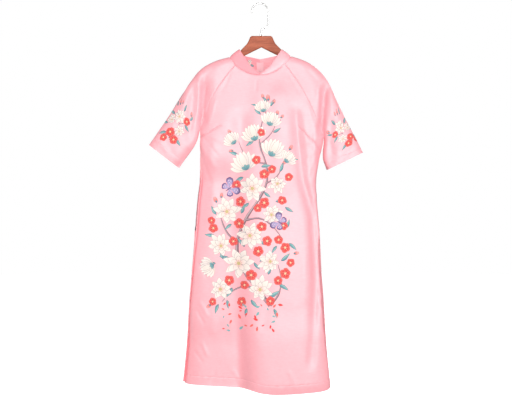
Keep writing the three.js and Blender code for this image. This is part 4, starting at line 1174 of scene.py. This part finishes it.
def back_panel(side):
    """One back panel, from the centre-back line out to its side."""
    sign = -1.0 if side == "left" else 1.0
    neck = panel_spots(neck_line("back", sign * np.linspace(0.0, 1.0, 22)))
    raglan = panel_spots(raglan_line(side, "back", fine))
    edge = panel_spots(side_line("back", side, side_shares))
    hem = panel_spots(hem_line("back", sign * np.linspace(1.0, 0.0, 62)))
    centre = np.stack([np.zeros(200), np.linspace(hem[-1, 1], neck[0, 1], 200)], axis=-1)
    outline = joined_edges(neck, raglan, edge, hem, centre)
    hem_seam = panel_spots(hem_line("back", sign * np.linspace(1.0, 0.0, 40), hem_rise))
    seams = [(neck[::3], 1.0, 0.2), (raglan[::3], 1.0, pucker_depth), (edge[::8], side_squeeze, 0.3),
             (centre[::6], 1.0, 0.34)]
    rows = [beside(line, seam_rows) for line in (neck, raglan, centre)]
    rows += [beside(edge, side_rows)]
    rows += [beside(panel_spots(hem_line("back", sign * np.linspace(1.0, 0.0, 80), hem_rise)), hem_rows)]
    spots = gathered_spots(outline, lattice(outline, back_pitch, back_pitch, 3.0), rows)
    inner_spots = lattice(outline, inner_pitch, inner_pitch, 5.0)
    relief = sewn_relief("back", seams, [hem_seam])
    piece = cloth_piece(f"back_{side}_cloth", outline, panel_place("back"), relief, spots, inner_spots)
    sewn_in(piece)


for side in ("left", "right"):
    back_panel(side)

# ---------------------------------------------------------------- the sleeves
# Raglan sleeves of the same satin, each one piece from the neckline to the cuff: sewn to the front and the
# back above the underarm, and to itself below it. A spray of blooms is printed on the outside of each.
# Each is laid out in rows: those of the cap end at the underarm, and those of the tube at the cuff.
cap_rows = 12.0
tube_rows = 6.0
row_pitch = 22.0
around_scale = 128.0
neck_shoulder = {"left": -103.0, "right": 105.0}
sleeve_fold = {"left": -296.0, "right": 302.0}
cuff_outer = {"left": -377.4, "right": 350.2}
cuff_inner_height = {"left": -558.0, "right": -565.0}
cuff_rise = 22.0
sleeve_wrinkle_fade = 24.0
# Small wrinkles of the sleeves: from (x, z) to (x, z), half width and height, less than zero for a hollow.
sleeve_wrinkles = {
    "left": [
        (-232, -270, -262, -350, 9, 1.4), (-262, -300, -300, -392, 10, -1.3),
        (-300, -410, -262, -470, 9, 1.5), (-330, -448, -286, -520, 9, -1.3),
        (-228, -330, -236, -420, 8, 1.3), (-206, -380, -240, -450, 7, 1.4),
        (-212, -400, -262, -452, 6, -1.2), (-150, -206, -196, -262, 10, -1.4),
        (-344, -466, -312, -506, 7, 1.2),
    ],
    "right": [
        (236, -284, 256, -360, 9, 1.4), (262, -350, 292, -430, 10, -1.4), (300, -440, 262, -500, 9, 1.6),
        (322, -480, 268, -540, 8, -1.4), (240, -430, 252, -500, 8, 1.5), (216, -420, 246, -480, 7, 1.4),
        (232, -522, 262, -546, 5, 1.6), (230, -536, 258, -560, 5, -1.4), (150, -210, 196, -270, 10, -1.4),
        (244, -500, 276, -520, 5, 1.3), (310, -470, 330, -506, 7, 1.2),
    ],
}


def top_line(start, end, share):
    """Spots on the fold along the top of a sleeve, at shares of the way from one x to the other."""
    x = np.linspace(start, end, 400)
    z = read(top_table, "x", "z", x)
    lengths = np.concatenate([[0.0], np.cumsum(np.hypot(np.diff(x), np.diff(z)))])
    at = np.interp(share, lengths / lengths[-1], x)
    return np.stack([at, read(top_table, "x", "z", at)], axis=-1)


def sleeve_lines(side, row):
    """The fold and the front and back edges of a sleeve at each row."""
    cap = np.clip(row / cap_rows, 0.0, 1.0)
    tube = (row - cap_rows) / tube_rows
    above = top_line(neck_shoulder[side], sleeve_fold[side], cap)
    over = top_line(sleeve_fold[side], cuff_outer[side], np.clip(tube, 0.0, 1.0))
    is_tube = (tube > 0.0)[:, None]
    z = underarm_height[side] + (cuff_inner_height[side] - underarm_height[side]) * tube
    lower = np.stack([read(underarm_table, "z", side, z), z], axis=-1)
    fold = np.where(is_tube, over, above)
    return fold, *(np.where(is_tube, lower, raglan_line(side, face, cap)) for face in ("front", "back"))


def sleeve_table(side):
    """The sleeve's lines at close rows, read as straight between them, because they are asked for often."""
    rows = np.linspace(0.0, cap_rows + tube_rows, 433)
    fold, front, back = sleeve_lines(side, rows)
    return rows, fold, front, back


def sleeve_place(side):
    """Takes a spot on a sleeve, round and down in millimetres, to its place in the hanging garment."""
    rows, fold, front, back = sleeve_table(side)

    def along(line, row):
        inside = np.stack([np.interp(row, rows, line[:, 0]), np.interp(row, rows, line[:, 1])], axis=-1)
        before = np.minimum(row - rows[0], 0.0)[:, None] * (line[1] - line[0]) / (rows[1] - rows[0])
        after = np.maximum(row - rows[-1], 0.0)[:, None] * (line[-1] - line[-2]) / (rows[-1] - rows[-2])
        return inside + before + after

    def place(around, down):
        turn = around / around_scale
        row = down / row_pitch
        inward = 1.0 - np.abs(turn)
        is_front = (turn < 0) != ((inward < 0) & (row >= cap_rows))
        closed = smooth_step((row - cap_rows + 3.0) / 3.0)
        opened = np.sin(math.pi / 2 * inward)
        share = (opened + (0.5 - 0.5 * np.cos(math.pi * inward) - opened) * closed)[:, None]
        edge = np.where(is_front[:, None], along(front, row), along(back, row))
        x, z = (edge + (along(fold, row) - edge) * share).T
        depth = np.where(is_front, -fullness("front", x, z), fullness("back", x, z))
        return np.stack([x, depth, z], axis=-1)

    return place


# The spray of each sleeve, in millimetres from its middle, with its rows as in the tables of the front.
spray = {
    "stems": [
        ([(-6, -52), (8, -22), (2, 10), (-14, 42)], 3.6, 1.6),
        ([(4, 0), (26, 14), (38, 34)], 2.6, 1.2),
    ],
    "leaves": [
        (20, -44, 26, -40, 0.2), (-22, -40, 26, 200, 0.2), (26, 6, 26, -20, -0.2), (-26, 22, 26, 160, 0.2),
        (10, 44, 26, 70, -0.2), (-30, 50, 22, 120, 0.2), (40, 30, 22, 30, 0.2), (-34, -12, 24, 190, -0.2),
    ],
    "buds": [(-16, 56, 18, 110), (44, 42, 16, 50), (-4, 62, 14, 80)],
    "ivory": [(-4, 22, 50, 20, 0.2), (16, -20, 42, 70, 0.3), (-26, 2, 38, 140, 0.35)],
    "red": [(-10, -34, 30, 10), (12, -50, 28, 40), (30, 20, 26, 70), (-22, -58, 24, 25)],
}
# Where the middle of each spray is printed: how far round from the fold, less than zero in front, how far
# down from the neck, its turn in degrees and its size.
spray_place = {"left": (-52, 13.2 * row_pitch, 186, 1.0), "right": (-50, 12.9 * row_pitch, 160, 1.0)}
spray_behind = {"left": (62, 13.6 * row_pitch, 10, 0.8), "right": (60, 13.4 * row_pitch, -10, 0.8)}


def spray_print(around, down, turn, size):
    """One spray, turned, sized and moved to its middle."""
    shapes = []
    for points, start, end in spray["stems"]:
        shapes += motif_stem(points, start, end)
    for x, z, length, angle, bend in spray["leaves"]:
        shapes += motif_leaf(x, z, length, angle, bend)
    for x, z, length, angle in spray["buds"]:
        shapes += motif_bud(x, z, length, angle)
    for row in spray["ivory"]:
        shapes += motif_ivory(*row)
    for row in spray["red"]:
        shapes += motif_red(*row)
    radians = math.radians(turn)
    back = np.array([[math.cos(radians), -math.sin(radians)], [math.sin(radians), math.cos(radians)]])

    def moved(paint):
        return lambda spots: paint(((spots - (around, down)) @ back) / size)

    return [(turned(shape * size, radians, (around, down)), moved(paint)) for shape, paint in shapes]


def sleeve(side):
    """A whole sleeve: its neckline edge, its two raglan edges, its underarm seam and its cuff."""
    place = sleeve_place(side)
    length = (cap_rows + tube_rows) * row_pitch
    corner = cap_rows * row_pitch
    cap = np.linspace(0.0, corner, 60)
    tube = np.linspace(corner, length, 28)
    downs = np.concatenate([cap, tube[1:]])
    front_edge = np.stack([np.full(len(downs), -around_scale), downs], axis=-1)
    back_edge = front_edge * (-1.0, 1.0)
    arounds = np.linspace(-around_scale, around_scale, 61)
    neck = np.stack([arounds[::4], np.zeros(16)], axis=-1)
    cuff = np.stack([arounds, np.full(61, length)], axis=-1)
    outline = joined_edges(neck, back_edge, cuff[::-1], front_edge[::-1])
    is_edge = np.isclose(np.abs(outline[:, 0]), around_scale) & (outline[:, 1] > corner - 0.01)
    edge_numbers = np.nonzero(is_edge)[0]
    welds = [(i, j) for i in edge_numbers for j in edge_numbers
             if outline[i, 0] < 0 < outline[j, 0] and abs(outline[i, 1] - outline[j, 1]) < 0.01]

    # Cloth is stretched least where the print lies, so distances round the sleeve are measured there.
    trial = np.linspace(-around_scale, around_scale, 257)
    ring = place(trial, np.full(257, 14.5 * row_pitch))
    arc = np.concatenate([[0.0], np.cumsum(np.linalg.norm(np.diff(ring, axis=0), axis=1))])
    arc -= arc[128]

    def to_sleeve(shape):
        return np.stack([np.interp(shape[:, 0], arc, trial), shape[:, 1]], axis=-1)

    def to_arc(spots):
        return np.stack([np.interp(spots[:, 0], trial, arc), spots[:, 1]], axis=-1)

    cuff_seam = np.stack([arounds, np.full(61, length - cuff_rise)], axis=-1)
    raglans = [line[:60] for line in (front_edge, back_edge)]
    underarms = [line[59:] for line in (front_edge, back_edge)]

    def relief(around, down):
        spots = np.stack([around, down], axis=-1)
        x, _, z = place(around, down).T
        height = wave_relief(x, z) + hem_relief(spots, cuff_seam[::3], 0.55)
        for line in raglans:
            height = height + seam_relief(spots, line[::4], 1.0)
        height = height + seam_relief(spots, neck[::3], 1.0, 0.15)
        for line in underarms:
            height = height + seam_relief(spots, line[::4], 0.35, 0.3)
        is_outside = np.where(around < 0, 1.0, -0.8)
        for wrinkle in sleeve_wrinkles[side]:
            folded = line_fold(x, z, wrinkle, sleeve_wrinkle_fade)
            height = height + is_outside * folded * smooth_step(1.4 - np.abs(around) / 100.0)
        return height

    rows = [beside(line, seam_rows) for line in (neck, *raglans)]
    rows += [beside(line, (2.5, 5.5)) for line in underarms]
    rows += [beside(cuff_seam, hem_rows)]
    spots = gathered_spots(outline, lattice(outline, 4.6, 6.0, 2.6), rows)
    shapes = spray_print(*spray_place[side]) + spray_print(*spray_behind[side])
    shapes = [(counter(to_sleeve(shape)), paint) for shape, paint in shapes]
    inner_spots = lattice(outline, 10.0, inner_pitch, 4.0)
    piece = cloth_piece(f"sleeve_{side}_cloth", outline, place, relief, spots, inner_spots, shapes,
                        plane=to_arc, welds=welds)
    sewn_in(piece)
    return place


sleeve_places = {side: sleeve(side) for side in ("left", "right")}

# ---------------------------------------------------------------- the stitches and the zip's coil
# Pink thread and pink nylon: the pricks that a blind hem shows outside, one every few millimetres along
# hems and cuffs, and the moulded coil on the zip's tape. One tree of nodes sets beads along a line for both.
prick_size = (1.5, 0.5, 0.4)
tooth_pitch = 1.5
tooth_size = (0.95, 1.1, 3.4)
coil_from = -226.0
coil_to = -632.0
coil_inset = 3.4
hem_inset = 0.55
cuff_inset = 0.35

bead_tree = bpy.data.node_groups.new("beads_along_a_line", "GeometryNodeTree")
bead_inputs = {"Geometry": "Geometry", "Pitch": "Float", "Size": "Vector", "Material": "Material"}
for socket, kind in bead_inputs.items():
    bead_tree.interface.new_socket(name=socket, in_out="INPUT", socket_type="NodeSocket" + kind)
bead_tree.interface.new_socket(name="Geometry", in_out="OUTPUT", socket_type="NodeSocketGeometry")
bead_in = bead_tree.nodes.new("NodeGroupInput")
bead_out = bead_tree.nodes.new("NodeGroupOutput")
bead_curve = bead_tree.nodes.new("GeometryNodeMeshToCurve")
bead_steps = bead_tree.nodes.new("GeometryNodeResampleCurve")
bead_steps.mode = "LENGTH"
bead_run = bead_tree.nodes.new("GeometryNodeInputTangent")
bead_aim = bead_tree.nodes.new("FunctionNodeAlignRotationToVector")
bead_aim.axis = "X"
bead_ball = bead_tree.nodes.new("GeometryNodeMeshUVSphere")
bead_ball.inputs["Segments"].default_value = 8
bead_ball.inputs["Rings"].default_value = 5
bead_ball.inputs["Radius"].default_value = 0.5
bead_smooth = bead_tree.nodes.new("GeometryNodeSetShadeSmooth")
bead_set = bead_tree.nodes.new("GeometryNodeInstanceOnPoints")
bead_real = bead_tree.nodes.new("GeometryNodeRealizeInstances")
bead_paint = bead_tree.nodes.new("GeometryNodeSetMaterial")
bead_tree.links.new(bead_in.outputs["Geometry"], bead_curve.inputs["Mesh"])
bead_tree.links.new(bead_curve.outputs["Curve"], bead_steps.inputs["Curve"])
bead_tree.links.new(bead_in.outputs["Pitch"], bead_steps.inputs["Length"])
bead_tree.links.new(bead_run.outputs["Tangent"], bead_aim.inputs["Vector"])
bead_tree.links.new(bead_ball.outputs["Mesh"], bead_smooth.inputs["Geometry"])
bead_tree.links.new(bead_steps.outputs["Curve"], bead_set.inputs["Points"])
bead_tree.links.new(bead_smooth.outputs["Geometry"], bead_set.inputs["Instance"])
bead_tree.links.new(bead_aim.outputs["Rotation"], bead_set.inputs["Rotation"])
bead_tree.links.new(bead_in.outputs["Size"], bead_set.inputs["Scale"])
bead_tree.links.new(bead_set.outputs["Instances"], bead_real.inputs["Geometry"])
bead_tree.links.new(bead_real.outputs["Geometry"], bead_paint.inputs["Geometry"])
bead_tree.links.new(bead_in.outputs["Material"], bead_paint.inputs["Material"])
bead_tree.links.new(bead_paint.outputs["Geometry"], bead_out.inputs["Geometry"])


def thread_material(name, color, roughness):
    """Spun or moulded pink yarn, a little uneven in tone."""
    thread = bpy.data.materials.new(name)
    thread.use_nodes = True
    tree = thread.node_tree
    shader = tree.nodes["Principled BSDF"]
    shader.inputs["Roughness"].default_value = roughness
    where = tree.nodes.new("ShaderNodeTexCoord")
    tone = tree.nodes.new("ShaderNodeMix")
    tone.data_type = "RGBA"
    tone.inputs["A"].default_value = (*(0.82 * c for c in color), 1.0)
    tone.inputs["B"].default_value = (*color, 1.0)
    tree.links.new(noise(tree, where.outputs["Object"], 700.0), tone.inputs["Factor"])
    tree.links.new(tone.outputs["Result"], shader.inputs["Base Color"])
    return thread


def beads(name, lines, pitch, size, material):
    """One piece of small beads along every line of places."""
    mesh = bpy.data.meshes.new(name + "_line")
    points = np.concatenate(lines) * MM
    ends = np.cumsum([len(line) for line in lines])
    edges = [(i, i + 1) for i in range(len(points) - 1) if i + 1 not in ends]
    mesh.from_pydata(points.tolist(), edges, [])
    source = bpy.data.objects.new(name + "_line", mesh)
    bpy.context.scene.collection.objects.link(source)
    modifier = source.modifiers.new("beads", "NODES")
    modifier.node_group = bead_tree
    values = {"Pitch": pitch * MM, "Size": [side * MM for side in size], "Material": material}
    for item in bead_tree.interface.items_tree:
        if item.in_out == "INPUT" and item.name in values:
            modifier[item.identifier] = values[item.name]
    seen = source.evaluated_get(bpy.context.evaluated_depsgraph_get())
    piece = bpy.data.objects.new(name, bpy.data.meshes.new_from_object(seen))
    bpy.data.objects.remove(source)
    bpy.context.scene.collection.objects.link(piece)
    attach(piece, "garment")


def on_cloth(place, spots, inset):
    """Places at a depth under a piece's smooth surface."""
    return raised(place, lambda u, v: np.zeros_like(u), spots, inset)[0]


whole_hem = np.linspace(-0.985, 0.985, 150)
stitch_lines = [on_cloth(panel_place(face), panel_spots(hem_line(face, whole_hem, hem_rise)), hem_inset)
                for face in ("front", "back")]
cuff_down = (cap_rows + tube_rows) * row_pitch - cuff_rise
cuff_around = np.linspace(-around_scale, around_scale, 121)
for side in ("left", "right"):
    cuff_spots = np.stack([cuff_around, np.full(121, cuff_down)], axis=-1)
    stitch_lines.append(on_cloth(sleeve_places[side], cuff_spots, cuff_inset))
thread = thread_material("pink_thread", (0.86, 0.33, 0.39), 0.6)
beads("hem_stitches", stitch_lines, stitch_pitch, prick_size, thread)

coil_spots = np.stack([np.zeros(120), np.linspace(coil_from, coil_to, 120)], axis=-1)
coil_line = on_cloth(panel_place("back"), coil_spots, coil_inset)
nylon = thread_material("pink_nylon", (0.88, 0.42, 0.47), 0.35)
beads("zip_coil", [coil_line], tooth_pitch, tooth_size, nylon)

# ---------------------------------------------------------------- the collar
# A standing collar in two halves, of two layers of satin, sewn to the neckline. Its ends slope down to a
# small V at the centre front, and its back is parted by the zip.
collar_table = {
    # The right half's top edge from the centre front round to the centre back, by shares of the neckline.
    "share": [0, 0.1, 0.25, 0.38, 0.46, 0.505, 0.545, 0.585, 0.62, 0.7, 0.85, 1],
    "x": [1.2, 14, 33, 48, 60.5, 67, 69.5, 66.5, 62, 54, 28, 0.2],
    "z": [-238.5, -229, -211, -189, -170, -159, -153.5, -158, -165.5, -174, -180, -186],
    "depth": [-20, -20, -19.5, -17, -13.5, -9.5, 0, 8.5, 11, 12.5, 15, 16],
}
collar_fold = 69.5
collar_tip = {"left": -70.0, "right": 73.5}
collar_height = 26.0
collar_swell = 1.3


def collar_base(side):
    """The neckline of one half as it hangs, from the centre front over the shoulder to the centre back."""
    sign = -1.0 if side == "left" else 1.0
    half = np.linspace(0.0, 1.0, 60)
    front = panel_spots(neck_line("front", sign * half))
    back = panel_spots(neck_line("back", sign * half[::-1]))
    over = np.linspace(-around_scale, around_scale, 60)
    return np.concatenate([panel_place("front")(*front.T), sleeve_places[side](over, np.zeros(60))[1:],
                           panel_place("back")(*back.T)[1:]])


def collar(side):
    """One half of the collar, from its foot on the neckline up to its rolled top edge."""
    base = collar_base(side)
    steps = np.maximum(np.linalg.norm(np.diff(base, axis=0), axis=1), 1e-6)
    lengths = np.concatenate([[0.0], np.cumsum(steps)])
    total = lengths[-1]
    stretch = collar_tip[side] / collar_fold

    def place(along, up):
        foot = np.stack([np.interp(along, lengths, base[:, axis]) for axis in range(3)], axis=-1)
        share = along / total
        head = np.stack([stretch * read(collar_table, "share", "x", share),
                         read(collar_table, "share", "depth", share),
                         read(collar_table, "share", "z", share)], axis=-1)
        return foot + (head - foot) * (up / collar_height)[:, None]

    alongs = np.linspace(0.0, total, 90)
    ups = np.linspace(0.0, collar_height, 9)
    foot_line = np.stack([alongs, np.zeros(90)], axis=-1)
    head_line = np.stack([alongs, np.full(90, collar_height)], axis=-1)
    ends = [np.stack([np.full(9, at), ups], axis=-1) for at in (0.0, total)]
    outline = joined_edges(foot_line, ends[1], head_line[::-1], ends[0][::-1])

    def relief(along, up):
        spots = np.stack([along, up], axis=-1)
        distance, _ = nearest(spots, head_line[::8])
        rolled = -0.6 * np.exp(-((distance / 1.2) ** 2))
        height = collar_swell * np.sin(math.pi * np.clip(up / collar_height, 0.0, 1.0))
        ripple = 0.35 * np.sin(along / 9.0 + 1.4 * np.sin(along / 31.0))
        ripple = ripple * np.sin(math.pi * up / collar_height)
        ends_in = seam_relief(spots, ends[0], 1.0, 0.0) + seam_relief(spots, ends[1], 1.0, 0.0)
        return height + ripple + rolled + seam_relief(spots, foot_line[::3], 1.0, 0.18) + 0.5 * ends_in

    rows = [beside(foot_line, (0.9, 2.0, 3.6))]
    rows += [beside(line, (0.8, 1.7)) for line in (head_line, *ends)]
    spots = gathered_spots(outline, lattice(outline, 4.0, 3.4, 1.6), rows)
    inner_shapes = []
    if side == "left":
        inner_shapes = [(counter(shape), paint) for shape, paint in collar_print(total)]
    inner_spots = lattice(outline, 5.0, 5.0, 2.0)
    piece = cloth_piece(f"collar_{side}_cloth", outline, place, relief, spots, inner_spots,
                        inner_prints=inner_shapes, plane=lambda flat: flat)
    # The left half takes the deeper satin, whose colour is painted shade.
    sewn_in(piece, satin_painted_shade if side == "left" else satin_outside)


def collar_print(total):
    """A small ivory bloom with two leaves, on the inside of the collar behind the neck."""
    at = 0.83 * total
    height = collar_height / 2
    shapes = motif_leaf(at - 8, height + 2, 15, 170, 0.2) + motif_leaf(at + 7, height - 3, 14, -20, 0.2)
    return shapes + motif_ivory(at, height, 19, 30, 0.2)


for side in ("left", "right"):
    collar(side)

# ---------------------------------------------------------------- the hidden zip
# A woven tape with a fine coil behind the centre-back seam, and a small enamelled metal slider with a pull
# tab outside it.
tape_material = bpy.data.materials.new("zip_tape")
tape_material.use_nodes = True
tape_tree = tape_material.node_tree
tape_shader = tape_tree.nodes["Principled BSDF"]
tape_shader.inputs["Roughness"].default_value = 0.8
tape_where = tape_tree.nodes.new("ShaderNodeTexCoord")
tape_cloth = tape_tree.nodes.new("ShaderNodeGroup")
tape_cloth.node_tree = weave
tape_cloth.inputs["Pitch"].default_value = 0.0013
tape_tree.links.new(tape_where.outputs["Object"], tape_cloth.inputs["Vector"])
tape_tone = tape_tree.nodes.new("ShaderNodeMix")
tape_tone.data_type = "RGBA"
tape_tone.inputs["A"].default_value = (0.90, 0.44, 0.49, 1.0)
tape_tone.inputs["B"].default_value = (0.95, 0.54, 0.59, 1.0)
tape_tree.links.new(tape_cloth.outputs["Height"], tape_tone.inputs["Factor"])
tape_tree.links.new(tape_tone.outputs["Result"], tape_shader.inputs["Base Color"])
tape_bump = tape_tree.nodes.new("ShaderNodeBump")
tape_bump.inputs["Strength"].default_value = 0.15
tape_bump.inputs["Distance"].default_value = 0.0002
tape_tree.links.new(tape_cloth.outputs["Height"], tape_bump.inputs["Height"])
tape_tree.links.new(tape_bump.outputs["Normal"], tape_shader.inputs["Normal"])


def dress_node(node, material):
    """Gives a carried-over part its finish."""
    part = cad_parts[node]
    part.data.materials.clear()
    part.data.materials.append(material)


dress_node("zip_tape", tape_material)


def metal_material(name, color, roughness, scratch_scale):
    """Plated metal with fine scratches and a slightly uneven polish."""
    metal = bpy.data.materials.new(name)
    metal.use_nodes = True
    tree = metal.node_tree
    shader = tree.nodes["Principled BSDF"]
    shader.inputs["Metallic"].default_value = 1.0
    where = tree.nodes.new("ShaderNodeTexCoord")
    scratches = noise(tree, where.outputs["Object"], scratch_scale, (1.0, 1.0, 0.12), 3.0)
    tone = tree.nodes.new("ShaderNodeMix")
    tone.data_type = "RGBA"
    tone.inputs["A"].default_value = (*(0.8 * c for c in color), 1.0)
    tone.inputs["B"].default_value = (*color, 1.0)
    tree.links.new(scratches, tone.inputs["Factor"])
    tree.links.new(tone.outputs["Result"], shader.inputs["Base Color"])
    tree.links.new(maths(tree, "MULTIPLY_ADD", scratches, 0.25, roughness - 0.1), shader.inputs["Roughness"])
    bump = tree.nodes.new("ShaderNodeBump")
    bump.inputs["Strength"].default_value = 0.2
    bump.inputs["Distance"].default_value = 0.00005
    tree.links.new(scratches, bump.inputs["Height"])
    tree.links.new(bump.outputs["Normal"], shader.inputs["Normal"])
    return metal


zip_metal = metal_material("zip_enamel", (0.86, 0.56, 0.60), 0.38, 900.0)
for node in ("zip_slider", "zip_pull"):
    dress_node(node, zip_metal)

# ---------------------------------------------------------------- the hanger
# A flat hanger of red-brown lacquered wood with rounded edges, a steel collar at its head and a wire hook.
wood_material = bpy.data.materials.new("lacquered_wood")
wood_material.use_nodes = True
wood_tree = wood_material.node_tree
wood_shader = wood_tree.nodes["Principled BSDF"]
wood_shader.inputs["Specular IOR Level"].default_value = 0.22
wood_where = wood_tree.nodes.new("ShaderNodeTexCoord")
rings = noise(wood_tree, wood_where.outputs["Object"], 60.0, (0.16, 1.0, 1.0), 4.0, 0.6)
pores = noise(wood_tree, wood_where.outputs["Object"], 420.0, (0.06, 1.0, 1.0), 2.0, 0.6)
wide_grain = maths(wood_tree, "MULTIPLY", rings, 0.65)
fine_grain = maths(wood_tree, "MULTIPLY", pores, 0.35)
grain = maths(wood_tree, "ADD", wide_grain, fine_grain)
grain_colors = wood_tree.nodes.new("ShaderNodeValToRGB")
grain_colors.color_ramp.elements[0].position = 0.36
grain_colors.color_ramp.elements[0].color = (0.24, 0.055, 0.028, 1.0)
grain_colors.color_ramp.elements[1].position = 0.62
grain_colors.color_ramp.elements[1].color = (0.46, 0.13, 0.07, 1.0)
wood_tree.links.new(grain, grain_colors.inputs["Fac"])
wood_tree.links.new(grain_colors.outputs["Color"], wood_shader.inputs["Base Color"])
wood_tree.links.new(maths(wood_tree, "MULTIPLY_ADD", pores, 0.2, 0.45), wood_shader.inputs["Roughness"])
wood_bump = wood_tree.nodes.new("ShaderNodeBump")
wood_bump.inputs["Strength"].default_value = 0.25
wood_bump.inputs["Distance"].default_value = 0.0002
wood_tree.links.new(grain, wood_bump.inputs["Height"])
wood_tree.links.new(wood_bump.outputs["Normal"], wood_shader.inputs["Normal"])
dress_node("hanger_wood", wood_material)

steel = metal_material("bright_steel", (0.80, 0.80, 0.79), 0.24, 600.0)
dress_node("hanger_ferrule", steel)

# The hook is one bent steel wire: a stem that cranks out to the side, then a round crown past the half turn.
wire_radius = 2.0
crown_radius = 28.0
crown_end = math.radians(186.0)
stem_points = [(4.5, -101.2), (4.5, -92), (8.5, -84.5), (20.5, -79.5), (26.8, -71), (27.9, -50), (28, -26)]
wire_sides = 24


def wire_places():
    """The middle of the wire, from inside the steel collar up the stem and round the crown."""
    turns = np.linspace(0.0, crown_end, 60)
    crown = np.stack([np.cos(turns), np.sin(turns)], axis=-1) * crown_radius
    crown[:, 1] += wire_radius - crown_radius
    return np.concatenate([spline(stem_points, np.linspace(0.0, 1.0, 50))[:-1], crown])


def bent_wire(name, middle, radius):
    """A closed round wire along a flat line of places, with rounded ends."""
    run = np.gradient(middle, axis=0)
    run /= np.hypot(*run.T)[:, None]
    steps = np.sin(np.linspace(0.0, math.pi / 2, 6))
    cap = np.cos(np.arcsin(steps[1:]))
    radii = np.concatenate([cap[::-1], np.ones(len(middle)), cap])
    middle = np.concatenate([middle[:1] - run[:1] * steps[:0:-1, None] * radius, middle,
                             middle[-1:] + run[-1:] * steps[1:, None] * radius])
    run = np.concatenate([np.repeat(run[:1], 5, axis=0), run, np.repeat(run[-1:], 5, axis=0)])
    radii = np.maximum(radii, 0.02)
    turns = np.linspace(0.0, 2 * math.pi, wire_sides, endpoint=False)
    out = np.cos(turns)[None, :] * radii[:, None] * radius
    x = middle[:, :1] - run[:, 1:] * out
    z = middle[:, 1:] + run[:, :1] * out
    y = np.sin(turns)[None, :] * radii[:, None] * radius
    points = np.stack([x, y, z], axis=-1).reshape(-1, 3) * MM
    rings = len(middle)
    faces = []
    for i in range(rings - 1):
        low, high = i * wire_sides, (i + 1) * wire_sides
        for j in range(wire_sides):
            after = (j + 1) % wire_sides
            faces.append((low + j, low + after, high + after, high + j))
    faces += [tuple(range(wire_sides))[::-1], tuple(range((rings - 1) * wire_sides, rings * wire_sides))]
    mesh = bpy.data.meshes.new(name)
    mesh.from_pydata(points.tolist(), [], faces)
    mesh.polygons.foreach_set("use_smooth", np.ones(len(faces), bool))
    builder = bmesh.new()
    builder.from_mesh(mesh)
    bmesh.ops.recalc_face_normals(builder, faces=builder.faces)
    builder.to_mesh(mesh)
    builder.free()
    piece = bpy.data.objects.new(name, mesh)
    bpy.context.scene.collection.objects.link(piece)
    return piece


hook = bent_wire("steel_hook", wire_places(), wire_radius)
hook.data.materials.append(steel)
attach(hook, "garment")
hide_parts("hanger_hook")
